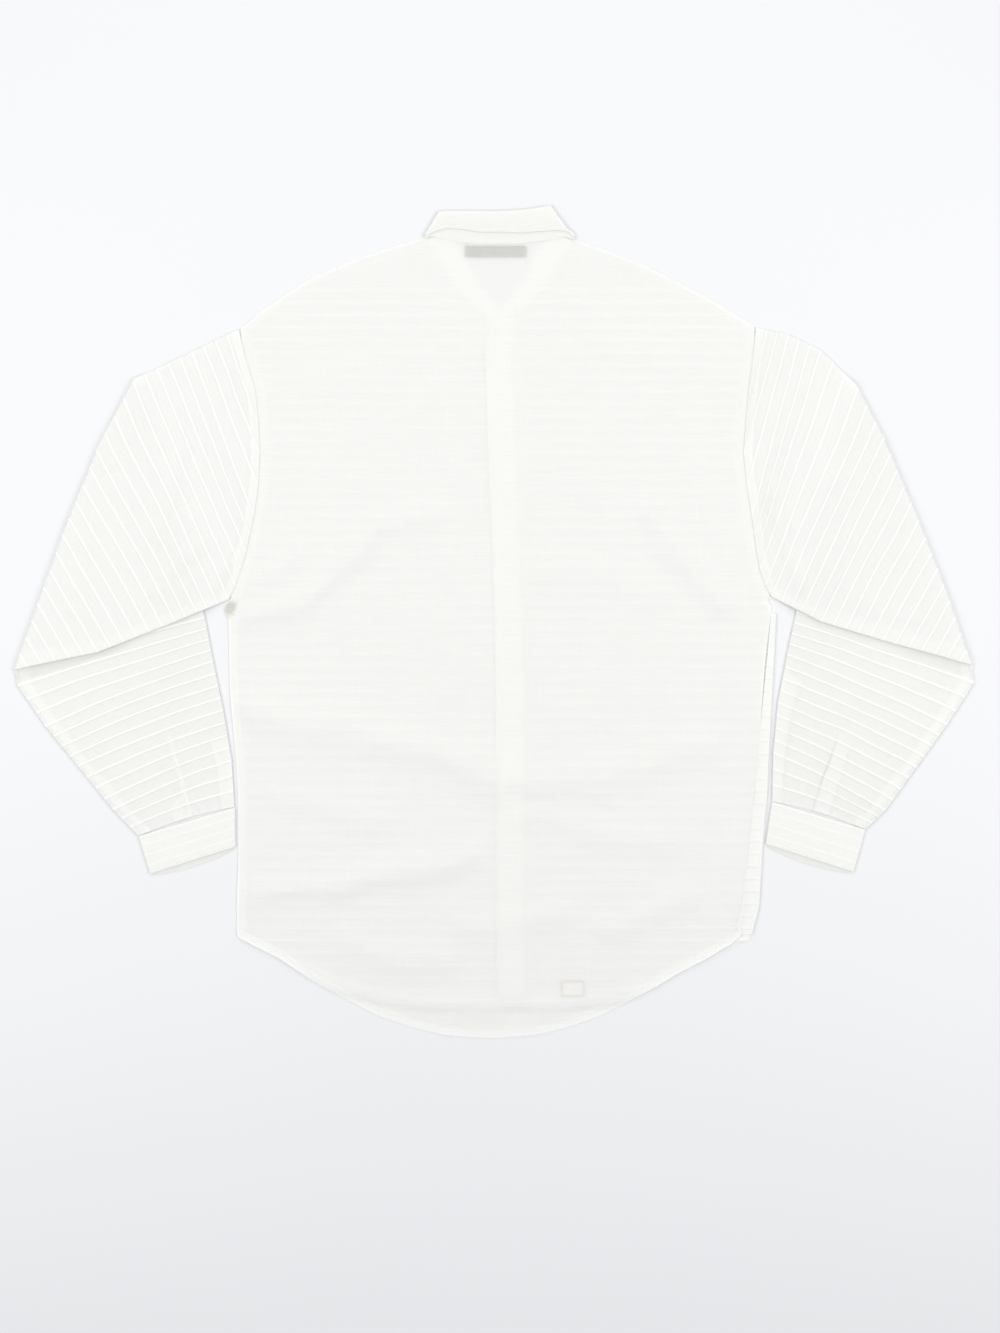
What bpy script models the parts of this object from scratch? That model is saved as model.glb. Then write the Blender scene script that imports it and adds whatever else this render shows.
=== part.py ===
"""Pleated shirt laid flat, front side down, with both forearms folded under the upper sleeves.

Blender 4.5. Tables are in millimetres and the objects are built in metres, +Z up.
+X is to the right as seen from above, +Y runs from the hem to the collar, and the floor is Z = 0.
The origin is on the floor at the middle of the shirt's bounding box.
"""
import math

import bmesh
import bpy
import numpy as np
from mathutils import Vector

MM = 0.001

# Cloth and stacking heights
WALL = 1.0            # thickness of every cloth wall
GAP = 0.3             # clearance at seams and between layers
TUCK_HEIGHT = 0.5     # how far a stitched tuck stands above its cloth
TUCK_WIDTH = 3.0      # foot to foot
LAYER_2 = 2.1         # underside of the back where it lies on the tucked fronts
LAYER_2_SEAM = WALL + GAP         # underside of the back along the side and shoulder seams
OVER_STAND = 2.6      # underside of the back over the placket and the button stand

# Fronts: tucks run straight across, one below the other
FRONT_TUCKS = 57
FRONT_TUCK_TOP = 358.0
FRONT_TUCK_PITCH = 13.5
TUCK_MARGIN = 7.0     # plain cloth between a tuck's end and the panel's edge
FRONT_LOW = -411.5    # lowest point of the fronts' hem
FRONT_TOP = (413.5, 411.0)        # where the left and the right front end beside the collar

# Concealed opening
PLACKET_WIDTH = 30.0
PLACKET_BOTTOM = -411.0
PLACKET_STATIONS = (-193, -40, 76, 192, 309)
BUTTON_STAND_START = -3.0         # from the placket's left edge
BUTTON_STAND_WIDTH = 29.0
BUTTON_STAND_TOP = 300.0
BUTTON_RADIUS = 3.8
BUTTON_AT = (-2.0, 315.0)
# Left edge of the placket: y, x
PLACKET_EDGE = ((-420, 6), (-193, 5), (-40, 4), (76, 1), (192, -4), (309, -8), (420, -11))

# Body outline, x and y of each point
SHOULDER = (
    (-275, 315), (-251, 336), (-202, 369), (-153, 390), (-76, 415), (-60, 416), (-48, 411), (-33, 408),
    (6, 406), (45, 409), (60, 414), (72, 416), (88, 412), (157, 387), (230, 350), (281, 318),
)
BACK_HEM = (
    (-279, -336), (-274, -344), (-250, -352), (-220, -371), (-196, -388), (-169, -403), (-127, -425),
    (-88, -438), (-46, -448), (-4, -450), (39, -447), (74, -440), (113, -426), (147, -409), (185, -388),
    (212, -371), (244, -357), (266, -338),
)
FRONT_HEM = (
    (-275, -343), (-250, -352), (-220, -368), (-169, -393), (-127, -404), (-65, -411), (4, -412),
    (71, -412), (125, -407), (168, -393), (211, -368), (244, -353), (277, -342),
)
LEFT_SIDE = (
    (-275, 315), (-264, 277), (-256, 242), (-253, 196), (-253, 171), (-255, 137), (-261, 106),
    (-268, 72), (-278, 42), (-286, 21), (-287, 10), (-286, -66), (-280, -139), (-277, -172),
    (-276, -246), (-278, -300), (-278, -333), (-275, -343),
)
RIGHT_SIDE = (
    (281, 316), (276, 277), (273, 242), (268, 185), (271, 153), (276, 120), (282, 77), (287, 48),
    (298, 26), (304, 14), (304, 2), (301, -60), (296, -153), (295, -183), (290, -237), (286, -307),
    (277, -342),
)
# Where the back ends on the right, because the front is turned up over its edge
TURNED_EDGE = (
    (281, 316), (276, 277), (273, 242), (268, 185), (271, 153), (276, 120), (282, 77), (287, 48),
    (297, 26), (299, 14), (292, -37), (284, -153), (279, -202), (274, -249), (266, -326), (264, -345),
)
TURNED_TOP = 10.0
TURNED_BOTTOM = -338.0
TURNED_TUCKS_FROM = -45.0

# Soft creases of the back: ends, half width and height
CREASES = (
    # x0, y0, x1, y1, half width, height
    (-277, 3, -203, 30, 15, 1.8),
    (-203, 30, -122, 103, 16, 2.0),
    (-122, 103, -65, 114, 16, 1.4),
    (-275, -96, -102, -131, 22, 1.6),
    (-102, -131, 0, -174, 24, 2.0),
    (0, -174, 114, -171, 24, 1.8),
    (114, -171, 222, -139, 22, 1.4),
    (-267, -295, -173, -285, 16, 1.4),
    (-173, -285, -30, -254, 18, 1.8),
    (163, 114, 244, 22, 16, 1.8),
)

# Columns of the back, as shares of the way from each side to the placket
BACK_SHARES = (0.0, 0.045, 0.16, 0.29, 0.42, 0.55, 0.68, 0.80, 0.91, 1.0)
ARMHOLE_INSET = 0.9   # the back's armhole edge has longer straight stretches than the sleeve's
UNDERARM_Y = 20.0
# Hem of the back
HEM_BAND = 8.5
HEM_RISE = 0.5

# Neck: the V's two edges, row by row from the collar down, x and y
V_LEFT_INNER = ((-53, 438), (-45, 415), (-32, 390), (-19, 366), (-4, 345), (5.8, 340))
V_LEFT_OUTER = ((-70, 424), (-70, 407), (-60, 388), (-45, 362), (-24, 340), (3.0, 320.5))
V_RIGHT_INNER = ((62, 440), (50, 407), (42, 390), (33, 370), (19, 350), (6.2, 340))
V_RIGHT_OUTER = ((80, 424), (83, 404), (70, 386), (57, 366), (41, 344), (3.6, 320.5))

# Collar: lower edge and top edge of the turned-down part, x and y
FALL_LOW = ((-76, 415), (-60, 422), (-50, 424), (-36, 423), (-16, 420), (6, 420), (29, 419), (52, 421),
            (68, 422), (79, 420), (88, 411))
FALL_TOP = ((-60, 442), (-50, 443), (-38, 443), (-24, 443), (-8, 443), (6, 443), (22, 443.5), (35, 445),
            (46, 446.5), (54, 448), (60, 449))
FALL_LEVEL = 3.4
STAND_ROLL = 1.8      # room for the collar's fold beyond the stand's top edge
LABEL_THICK = 0.5
# Name, left, bottom, right, top and underside of each label
LABELS = (
    ("neck_label", -32, 393, 35, 405, WALL + GAP),
    ("care_label", 72, -405, 97, -388, WALL + TUCK_HEIGHT + GAP),
)

# Sleeve: flat height of the tube, and heights where the upper sleeve lies on the forearm
TUBE = 2.6
ROUND_OUT = 0.8       # how far the tube's folded edges round outwards
LIFT = TUBE + TUCK_HEIGHT + GAP
BEND_INNER = (LIFT - TUBE) / 2
BEND_MEAN = BEND_INNER + TUBE / 2
BEND_LENGTH = math.pi * BEND_MEAN
BEND_REACH = BEND_INNER + TUBE
BEND_STEPS = 4
STEP_DOWN = (1.5, 12.0, 26.0)     # distances past the forearm over which the upper sleeve comes down
BOW_FADE = 60.0
FOREARM_BOW = 4.0
COLUMNS = (0.03, 0.36, 0.40, 0.66, 0.97)
PLEAT_COLUMN = 2
PLEAT_ROWS = (34, 39)
PLEAT_RISE = 0.9

# Each sleeve is drawn as the left one. Tables give tuck number and place, x and y, as it finally lies.
SLEEVES = {
    "left": {
        "mirror": 1,
        # tucks that cross the top edge above the elbow fold
        "top": ((0, -276, 315), (9, -390, 260)),
        "armhole": ((0, -258.9, 252), (1, -254.6, 210), (2, -253.6, 181), (3, -255.1, 146), (4, -260.2, 113),
                    (5, -264.4, 93), (6, -268.2, 75), (7, -273.8, 57), (8, -280, 39), (9, -287, 24)),
        "armhole_top": (-264.9, 277),
        "underarm": ((14, -344, 0), (20, -428, -33), (26, -518, -52)),
        "fold": ((-390, 260), (-518, -52)),
        "bow": ((0, 0.0), (76, 7.8), (170, 7.9), (255, 4.2), (337, 0.0)),
        "forearm_inner": ((26, -313, 4), (30, -304, -43), (34, -293, -96), (38, -284, -150), (41, -281, -200)),
        "forearm_outer": ((27, -514, -69), (30, -484, -113), (34, -449, -156), (38, -411, -203),
                          (41, -384, -231)),
        "cuff": ((-383.6, -231.6), (-280.4, -200.6), (-280, -243), (-371, -272)),
    },
    "right": {
        "mirror": -1,
        "top": ((0, -282, 317), (3, -317, 309), (6, -352, 292), (9, -392, 252)),
        "armhole": ((0, -274.5, 252), (1, -271, 210), (2, -269, 181), (3, -272.8, 146), (4, -277.8, 113),
                    (5, -280.5, 93), (6, -283.1, 75), (7, -286.4, 57), (8, -292.6, 39), (9, -299, 27)),
        "armhole_top": (-276.7, 277),
        "underarm": ((14, -352, 0), (20, -432, -24), (26, -515, -47)),
        "fold": ((-392, 252), (-515, -47)),
        "bow": ((0, 0.0), (60, 5.5), (150, 6.4), (240, 5.0), (323, 0.0)),
        "forearm_inner": ((26, -326, 10), (30, -316, -36), (34, -306, -88), (38, -301, -142), (41, -300, -194)),
        "forearm_outer": ((27, -517, -66), (30, -488, -111), (34, -455, -157), (38, -421, -204),
                          (41, -400, -224)),
        "cuff": ((-399.6, -224.6), (-299.8, -194.7), (-293, -240), (-387, -270)),
    },
}
SLEEVE_TUCKS = 41
COARSE_ROWS = (5, 9, 13, 17, 21, 26, 30, 34, 38)
CUFF_TOP = 3.1
CUFF_MOUTH = 5.0      # the lower layer of the cuff shows this far past the upper one

# Colour, roughness and metallic value of each material
CLOTH = ("cotton", (0.90, 0.89, 0.85, 1.0), 0.85, 0.0)
TAG = ("tag", (0.62, 0.62, 0.62, 1.0), 0.80, 0.0)
SHELL = ("button", (0.80, 0.78, 0.72, 1.0), 0.35, 0.0)


def ease(value):
    """Smooth step from 0 to 1."""
    value = min(max(value, 0.0), 1.0)
    return value * value * (3 - 2 * value)


def table(rows, column=1):
    """A function that reads one column of a table by its first column."""
    ordered = sorted(rows)
    keys = [row[0] for row in ordered]
    values = [row[column] for row in ordered]
    return lambda key: float(np.interp(key, keys, values))


def across(points):
    """x of an outline as a function of y."""
    return table([(y, x) for x, y in points])


placket_x = table(PLACKET_EDGE)
shoulder_y = table(SHOULDER)
back_hem_y = table(BACK_HEM)
front_hem_y = table(FRONT_HEM)


def clear_scene():
    for item in list(bpy.data.objects):
        bpy.data.objects.remove(item, do_unlink=True)


def material(spec):
    name, colour, roughness, metallic = spec
    made = bpy.data.materials.get(name) or bpy.data.materials.new(name)
    made.use_nodes = True
    shader = made.node_tree.nodes["Principled BSDF"]
    shader.inputs["Base Color"].default_value = colour
    shader.inputs["Roughness"].default_value = roughness
    shader.inputs["Metallic"].default_value = metallic
    return made


def finish(name, bm, spec=CLOTH, mirror=1):
    """Turns a mesh in millimetres into a closed object in metres."""
    bmesh.ops.remove_doubles(bm, verts=bm.verts, dist=0.001)
    bmesh.ops.scale(bm, vec=Vector((mirror * MM, MM, MM)), verts=bm.verts)
    bmesh.ops.recalc_face_normals(bm, faces=bm.faces)
    mesh = bpy.data.meshes.new(name)
    bm.to_mesh(mesh)
    bm.free()
    if mesh_volume(mesh) < 0:
        mesh.flip_normals()
    made = bpy.data.objects.new(name, mesh)
    made.data.materials.append(material(spec))
    bpy.context.scene.collection.objects.link(made)
    return made


def mesh_volume(mesh):
    mesh.calc_loop_triangles()
    corners = [vertex.co for vertex in mesh.vertices]
    return sum(corners[t.vertices[0]].dot(corners[t.vertices[1]].cross(corners[t.vertices[2]]))
               for t in mesh.loop_triangles)


def face(bm, corners):
    """Adds a face, without corners that repeat."""
    kept = []
    for corner in corners:
        if corner not in kept:
            kept.append(corner)
    if len(kept) > 2:
        bm.faces.new(kept)


def grid(bm, rows):
    """Quads between rows of vertices of equal length."""
    for upper, lower in zip(rows, rows[1:]):
        for i in range(len(upper) - 1):
            face(bm, (upper[i], upper[i + 1], lower[i + 1], lower[i]))


def stitch(bm, keys_a, chain_a, keys_b, chain_b):
    """Triangles between two chains that run the same way, each ordered by rising keys."""
    i = j = 0
    while i < len(chain_a) - 1 or j < len(chain_b) - 1:
        step_a = i < len(chain_a) - 1 and (j == len(chain_b) - 1 or keys_a[i + 1] <= keys_b[j + 1])
        if step_a:
            face(bm, (chain_a[i], chain_a[i + 1], chain_b[j]))
            i += 1
        else:
            face(bm, (chain_a[i], chain_b[j + 1], chain_b[j]))
            j += 1


def slab(name, outline, low, high, spec=CLOTH):
    """A flat piece of even thickness over an outline of x, y points."""
    bm = bmesh.new()
    bottom = [bm.verts.new((x, y, low)) for x, y in outline]
    top = [bm.verts.new((x, y, high)) for x, y in outline]
    bm.faces.new(bottom)
    bm.faces.new(top)
    grid(bm, (bottom + bottom[:1], top + top[:1]))
    return finish(name, bm, spec)


def ribbon(name, edge_a, edge_b, low, high, spec=CLOTH):
    """A flat strip between two edges with as many points each."""
    return slab(name, list(edge_a) + list(reversed(edge_b)), low, high, spec)


def front_tuck_rows():
    """Height above the cloth of each line across a front, as pairs of y and rise, from the hem up."""
    rows = []
    for number in reversed(range(FRONT_TUCKS)):
        y = FRONT_TUCK_TOP - number * FRONT_TUCK_PITCH
        rows += [(y - TUCK_WIDTH / 2, 0.0), (y, TUCK_HEIGHT), (y + TUCK_WIDTH / 2, 0.0)]
    return rows


def tucked_face(bm, level, left, right, rows, margin):
    """The upper face of a panel: tucked lines inside a plain border.

    left and right are the border's edges as (key, vertex) chains from the bottom up, where a key is y.
    """
    x_left = table([(y, vertex.co.x) for y, vertex in left])
    x_right = table([(y, vertex.co.x) for y, vertex in right])
    block = []
    for y, rise in rows:
        ends = (x_left(y) + margin, x_right(y) - margin)
        block.append([bm.verts.new((x, y, level + rise)) for x in ends])
    grid(bm, block)
    first, last = rows[0][0], rows[-1][0]
    keys = [y for y, rise in rows]
    for side, column in ((left, 0), (right, 1)):
        inside = [(y, vertex) for y, vertex in side if first <= y <= last]
        stitch(bm, [y for y, v in inside], [v for y, v in inside], keys, [row[column] for row in block])
    for near, row in ((lambda y: y <= first, block[0]), (lambda y: y >= last, block[-1])):
        on_left = [v for y, v in left if near(y)]
        on_right = [v for y, v in right if near(y)]
        if row is block[0]:
            on_left.reverse()
            on_right.reverse()
        face(bm, row[:1] + on_left + on_right[::-1] + row[1:])


def stations(outline, extra):
    """Heights at which an outline turns, with more of them added, from the bottom up."""
    found = {round(y, 2) for x, y in outline} | {round(y, 2) for y in extra}
    return sorted(found)


def front_left():
    """The wearer's left front: hem, side, armhole and shoulder on the left, placket and V on the right."""
    rows = front_tuck_rows()
    # the hem from the placket outwards, then the side and the shoulder
    outer = [(-70, FRONT_LOW)] + [p for p in FRONT_HEM if -260 < p[0] < -100]
    outer += list(LEFT_SIDE) + [p for p in SHOULDER if -260 < p[0] < -80] + [(-80, FRONT_TOP[0])]
    inner = [(placket_x(y) - GAP, y) for y in (FRONT_LOW, *PLACKET_STATIONS, 327.5)]
    inner += [(x - 0.6, y - 0.6) for x, y in V_LEFT_OUTER[1:5]] + [(-72.5, FRONT_TOP[0])]
    x_outer, x_inner = across(outer), across(inner)
    heights = stations(outer + inner, (rows[0][0], rows[-1][0]))
    bm = bmesh.new()
    left = [(y, bm.verts.new((x_outer(y), y, WALL))) for y in heights]
    right = [(y, bm.verts.new((x_inner(y), y, WALL))) for y in heights]
    tucked_face(bm, WALL, left, right, rows, TUCK_MARGIN)
    rim = [v for y, v in left] + [v for y, v in reversed(right)]
    base = [bm.verts.new((v.co.x, v.co.y, 0.0)) for v in rim]
    grid(bm, (rim + rim[:1], base + base[:1]))
    bm.faces.new(base)
    return finish("front_left", bm)


def front_right():
    """The wearer's right front. Its side is turned up and shows as a strip beside the back."""
    rows = front_tuck_rows()
    outer = [(71, FRONT_LOW)] + [p for p in FRONT_HEM if 100 < p[0] < 260] + [(274, -345)]
    outer += list(RIGHT_SIDE) + [p for p in SHOULDER if 100 < p[0] < 260] + [(91, FRONT_TOP[1])]
    inner = [(placket_x(y) + PLACKET_WIDTH + GAP, y) for y in (FRONT_LOW, *PLACKET_STATIONS, 331)]
    inner += [(x + 0.6, y - 0.6) for x, y in V_RIGHT_OUTER[1:5]] + [(86, FRONT_TOP[1])]
    x_outer, x_inner = across(outer), across(inner)
    more = (rows[0][0], rows[-1][0], TURNED_TOP, TURNED_BOTTOM, TURNED_TUCKS_FROM)
    heights = stations(outer + inner, more)
    bm = bmesh.new()
    left = [(y, bm.verts.new((x_inner(y), y, WALL))) for y in heights]
    right = [(y, bm.verts.new((x_outer(y) - (WALL + 0.6 if turned(y) else 0.0), y, WALL))) for y in heights]
    tucked_face(bm, WALL, left, right, rows, TUCK_MARGIN)
    base_left = [bm.verts.new((v.co.x, v.co.y, 0.0)) for y, v in left]
    base_right = [bm.verts.new((v.co.x, v.co.y, 0.0)) for y, v in right]
    bm.faces.new(base_left + base_right[::-1])
    grid(bm, ([v for y, v in left], base_left))
    face(bm, (left[0][1], right[0][1], base_right[0], base_left[0]))
    face(bm, (left[-1][1], right[-1][1], base_right[-1], base_left[-1]))
    inside = [i for i, y in enumerate(heights) if turned(y)]
    for i in range(len(heights) - 1):
        if not (inside[0] <= i < inside[-1]):
            face(bm, (right[i][1], right[i + 1][1], base_right[i + 1], base_right[i]))
    turn_up(bm, [heights[i] for i in inside], [right[i][1] for i in inside],
            [base_right[i] for i in inside], x_outer, rows)
    return finish("front_right", bm)


def turned(y):
    return TURNED_BOTTOM <= y <= TURNED_TOP


def turn_up(bm, heights, inner_fold, base, x_outer, rows):
    """The strip of the right front that is folded up over the side, with the ends of its tucks."""
    x_end = across(TURNED_EDGE)
    top = LAYER_2 + WALL
    reach = (
        # inset from the side's outline, height
        (0.0, top / 2),
        (1.0, top),
    )
    folds = [[bm.verts.new((x_outer(y) - inset, y, z)) for y in heights] for inset, z in reach]
    end_x = [x_end(y) + GAP for y in heights]
    end_top = [bm.verts.new((x, y, top)) for x, y in zip(end_x, heights)]
    end_low = [bm.verts.new((x, y, LAYER_2)) for x, y in zip(end_x, heights)]
    fold_low = [bm.verts.new((x_outer(y) - WALL - 0.6, y, LAYER_2)) for y in heights]
    grid(bm, (base, folds[0], folds[1]))
    grid(bm, (end_top, end_low, fold_low, inner_fold))
    left = list(zip(heights, end_top))
    right = list(zip(heights, folds[1]))
    ticks = [row for row in rows if TURNED_BOTTOM + 8 < row[0] < TURNED_TUCKS_FROM]
    while ticks[0][1] > 0 or ticks[1][1] == 0:
        ticks.pop(0)
    while ticks[-1][1] > 0 or ticks[-2][1] == 0:
        ticks.pop()
    first, last = ticks[0][0], ticks[-1][0]
    x_left = table([(y, v.co.x) for y, v in left])
    x_right = table([(y, v.co.x) for y, v in right])
    for side in (left, right):
        x_side = table([(y, v.co.x) for y, v in side])
        for y in (first, last):
            if y not in [key for key, v in side]:
                chain = split_chain(bm, side, y, x_side(y), top)
                side[:] = chain
    tucked_face(bm, top, left, right, ticks, 1.2)
    for i in (0, -1):
        face(bm, (base[i], folds[0][i], folds[1][i], end_top[i], end_low[i], fold_low[i], inner_fold[i]))


def split_chain(bm, side, y, x, z):
    """Adds a vertex to a chain of edges at height y, where the chain's edge is split."""
    for (y0, a), (y1, b) in zip(side, side[1:]):
        if y0 < y < y1:
            edge = bm.edges.get((a, b))
            made = bmesh.utils.edge_split(edge, a, (y - y0) / (y1 - y0))[1]
            return [pair for pair in side if pair[0] <= y0] + [(y, made)] + [p for p in side if p[0] >= y1]
    return side


def crease_height(x, y):
    """Rise of the back's soft creases."""
    rise = 0.0
    for x0, y0, x1, y1, half_width, height in CREASES:
        length = math.hypot(x1 - x0, y1 - y0)
        along = ((x - x0) * (x1 - x0) + (y - y0) * (y1 - y0)) / length
        aside = ((x - x0) * (y1 - y0) - (y - y0) * (x1 - x0)) / length
        beyond = max(-along, along - length, 0.0)
        rise = max(rise, height * math.exp(-(aside ** 2 + beyond ** 2) / half_width ** 2))
    return rise


def back_place(column, y):
    """x of one of the back's columns, which follow the sides and the placket."""
    near = placket_x(y) - 6.0
    far = placket_x(y) + PLACKET_WIDTH + 6.0
    inset = ARMHOLE_INSET if y > UNDERARM_Y else 0.0
    if column < len(BACK_SHARES):
        start = across(LEFT_SIDE)(y) + inset
        return start + (near - start) * BACK_SHARES[column]
    stop = across(TURNED_EDGE)(y) - inset
    return far + (stop - far) * (1 - BACK_SHARES[2 * len(BACK_SHARES) - 1 - column])


def back():
    """The plain back panel, over the fronts, with its creases and its thicker hem."""
    shares, place = BACK_SHARES, back_place
    depths = [0.0, 0.009] + [0.02 + 0.90 * i / 22 for i in range(1, 23)] + [0.957, 0.975]

    def underside(column, y, x, depth, top_x):
        level = LAYER_2
        beside_placket = column in (len(shares) - 1, len(shares)) and y < 350
        over_label = LABELS[1][1] - 20 < x < LABELS[1][3] + 20 and y < LABELS[1][4] + 28
        if beside_placket or over_label:
            level = OVER_STAND
        at_left = column == 0
        at_right = column == 2 * len(shares) - 1 and y > TURNED_TOP + 20
        at_shoulder = depth == 0.0 and not -72 < top_x < 84
        if at_left or at_right or at_shoulder:
            return LAYER_2_SEAM
        edge = min(1.0, depth / 0.06) if -300 < y else 1.0
        level += crease_height(x, y) * ease(edge) * (0.4 if column in (1, 2 * len(shares) - 2) else 1.0)
        drop = ease((front_hem_y(x) - 2.5 - y) / 14.0)
        return level * (1 - drop)

    low_rows, high_rows = [], []
    bm = bmesh.new()
    columns = range(2 * len(shares))
    tops = [place(c, 400.0) for c in columns]
    bottoms = [place(c, -340.0) for c in columns]
    plan = [(depth, 0.0, 0.0) for depth in depths]
    plan += [(1.0, HEM_BAND + 0.6, 0.0), (1.0, HEM_BAND, HEM_RISE), (1.0, 0.0, HEM_RISE)]
    for depth, above, rise in plan:
        low, high = [], []
        for c in columns:
            y_top, y_low = shoulder_y(tops[c]), back_hem_y(bottoms[c])
            y = y_top + (y_low - y_top) * depth + above
            x = place(c, min(y, 315.0)) if y > -340 else place(c, -340.0)
            if depth == 0.0:
                x = tops[c]
            z = underside(c, y, x, depth, tops[c])
            low.append(bm.verts.new((x, y, z)))
            high.append(bm.verts.new((x, y, z + WALL + rise)))
        low_rows.append(low)
        high_rows.append(high)
    grid(bm, low_rows)
    grid(bm, high_rows)
    grid(bm, (low_rows[0], high_rows[0]))
    grid(bm, (low_rows[-1], high_rows[-1]))
    for c in (0, -1):
        grid(bm, ([row[c] for row in low_rows], [row[c] for row in high_rows]))
    return finish("back", bm)


def collar():
    """The stand rises from the back neck seam, and the fall turns down over it from its top edge."""
    low, top = np.array(FALL_LOW, float), np.array(FALL_TOP, float)
    columns = [back_place(c, 400.0) for c in range(2 * len(BACK_SHARES))]
    neck = [(x, shoulder_y(x) + GAP + 0.2) for x in [-65.0] + [x for x in columns if -60 < x < 66] + [69.0]]
    reach = [tuple(t + (b - t) * STAND_ROLL / np.hypot(*(b - t))) for b, t in zip(low, top)]
    ribbon("collar_stand", neck, reach, LAYER_2, LAYER_2 + WALL)

    bm = bmesh.new()
    rings = []
    for b, t in zip(low, top):
        down = (b - t) / np.hypot(*(b - t))
        profile = (
            # distance down from the fold, height
            (np.hypot(*(b - t)), FALL_LEVEL),
            (np.hypot(*(b - t)), FALL_LEVEL + WALL),
            (2.0, FALL_LEVEL + WALL),
            (0.5, FALL_LEVEL + 0.7),
            (0.0, FALL_LEVEL + 0.1),
            (0.3, LAYER_2),
            (1.3, LAYER_2),
            (1.3, FALL_LEVEL - 0.2),
            (1.8, FALL_LEVEL),
        )
        rings.append([bm.verts.new((*(t + down * along), z)) for along, z in profile])
    grid(bm, [ring + ring[:1] for ring in rings])
    bm.faces.new(rings[0])
    bm.faces.new(rings[-1])
    finish("collar_fall", bm)

    ribbon("collar_front_left", V_LEFT_INNER, V_LEFT_OUTER, 0.0, WALL)
    ribbon("collar_front_right", V_RIGHT_INNER, V_RIGHT_OUTER, 0.0, WALL)


def opening():
    """The concealed placket lies lowest, the button stand on it, and one button below the V."""
    heights = (PLACKET_BOTTOM, *PLACKET_STATIONS)
    left = [(placket_x(y), y) for y in heights + (326.8,)]
    right = [(placket_x(y) + PLACKET_WIDTH, y) for y in heights + (330.6,)]
    slab("placket", left + [(3.3, 319.8)] + right[::-1], 0.0, WALL)
    heights = (PLACKET_BOTTOM + 6, *PLACKET_STATIONS[:-1], BUTTON_STAND_TOP)
    ribbon("button_stand", [(placket_x(y) + BUTTON_STAND_START, y) for y in heights],
           [(placket_x(y) + BUTTON_STAND_START + BUTTON_STAND_WIDTH, y) for y in heights],
           WALL + GAP, 2 * WALL + GAP)
    turns = [2 * math.pi * i / 20 for i in range(20)]
    ring = [(BUTTON_AT[0] + BUTTON_RADIUS * math.cos(a), BUTTON_AT[1] + BUTTON_RADIUS * math.sin(a))
            for a in turns]
    slab("top_button", ring, WALL + GAP, 2 * WALL + GAP, SHELL)


def labels():
    for name, x0, y0, x1, y1, level in LABELS:
        slab(name, ((x0, y0), (x1, y0), (x1, y1), (x0, y1)), level, level + LABEL_THICK, TAG)


class Fold:
    """The elbow fold: a flat sleeve in (along, past) coordinates and as it lies folded.

    along runs down the fold from the top edge, and past is the distance beyond the fold's start.
    """

    def __init__(self, spec):
        a, b = (np.array(p, float) for p in spec["fold"])
        self.along = (b - a) / np.hypot(*(b - a))
        self.out = np.array((self.along[1], -self.along[0]))
        self.start = a - self.out * BEND_REACH
        self.bow = table(spec["bow"])
        corner = np.array(spec["forearm_inner"][0][1:], float)
        edge = corner - a
        self.edge_start = a
        self.aside = np.array((-edge[1], edge[0])) / np.hypot(*edge)

    def flat(self, point, forearm):
        """A point as it lies, in the flat sleeve's coordinates."""
        offset = np.array(point, float) - self.start
        along, past = offset @ self.along, offset @ self.out
        past -= self.bow(along) * math.exp(-(past / BOW_FADE) ** 2)
        return (along, BEND_LENGTH - past if forearm else past)

    def laid(self, along, past, height):
        """The flat sleeve's point, folded: x, y and z."""
        angle = min(max(past / BEND_MEAN, 0.0), math.pi)
        radius = BEND_INNER + height
        if past <= 0:
            out, z = past, LIFT + height
        elif angle >= math.pi:
            out, z = BEND_LENGTH - past, TUBE - height
        else:
            out, z = radius * math.sin(angle), LIFT - BEND_INNER + radius * math.cos(angle)
        plan = self.start + self.along * along + self.out * out
        if past <= 0:
            z -= LIFT * ease((self.clear(plan) - STEP_DOWN[0]) / (STEP_DOWN[-1] - STEP_DOWN[0]))
        plan = plan + self.out * self.bow(along) * math.exp(-(out / BOW_FADE) ** 2)
        return (plan[0], plan[1], max(z, 0.0))

    def clear(self, plan):
        """Distance past the forearm's hidden edge, under the upper sleeve."""
        return float((np.array(plan) - self.edge_start) @ self.aside)


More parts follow.
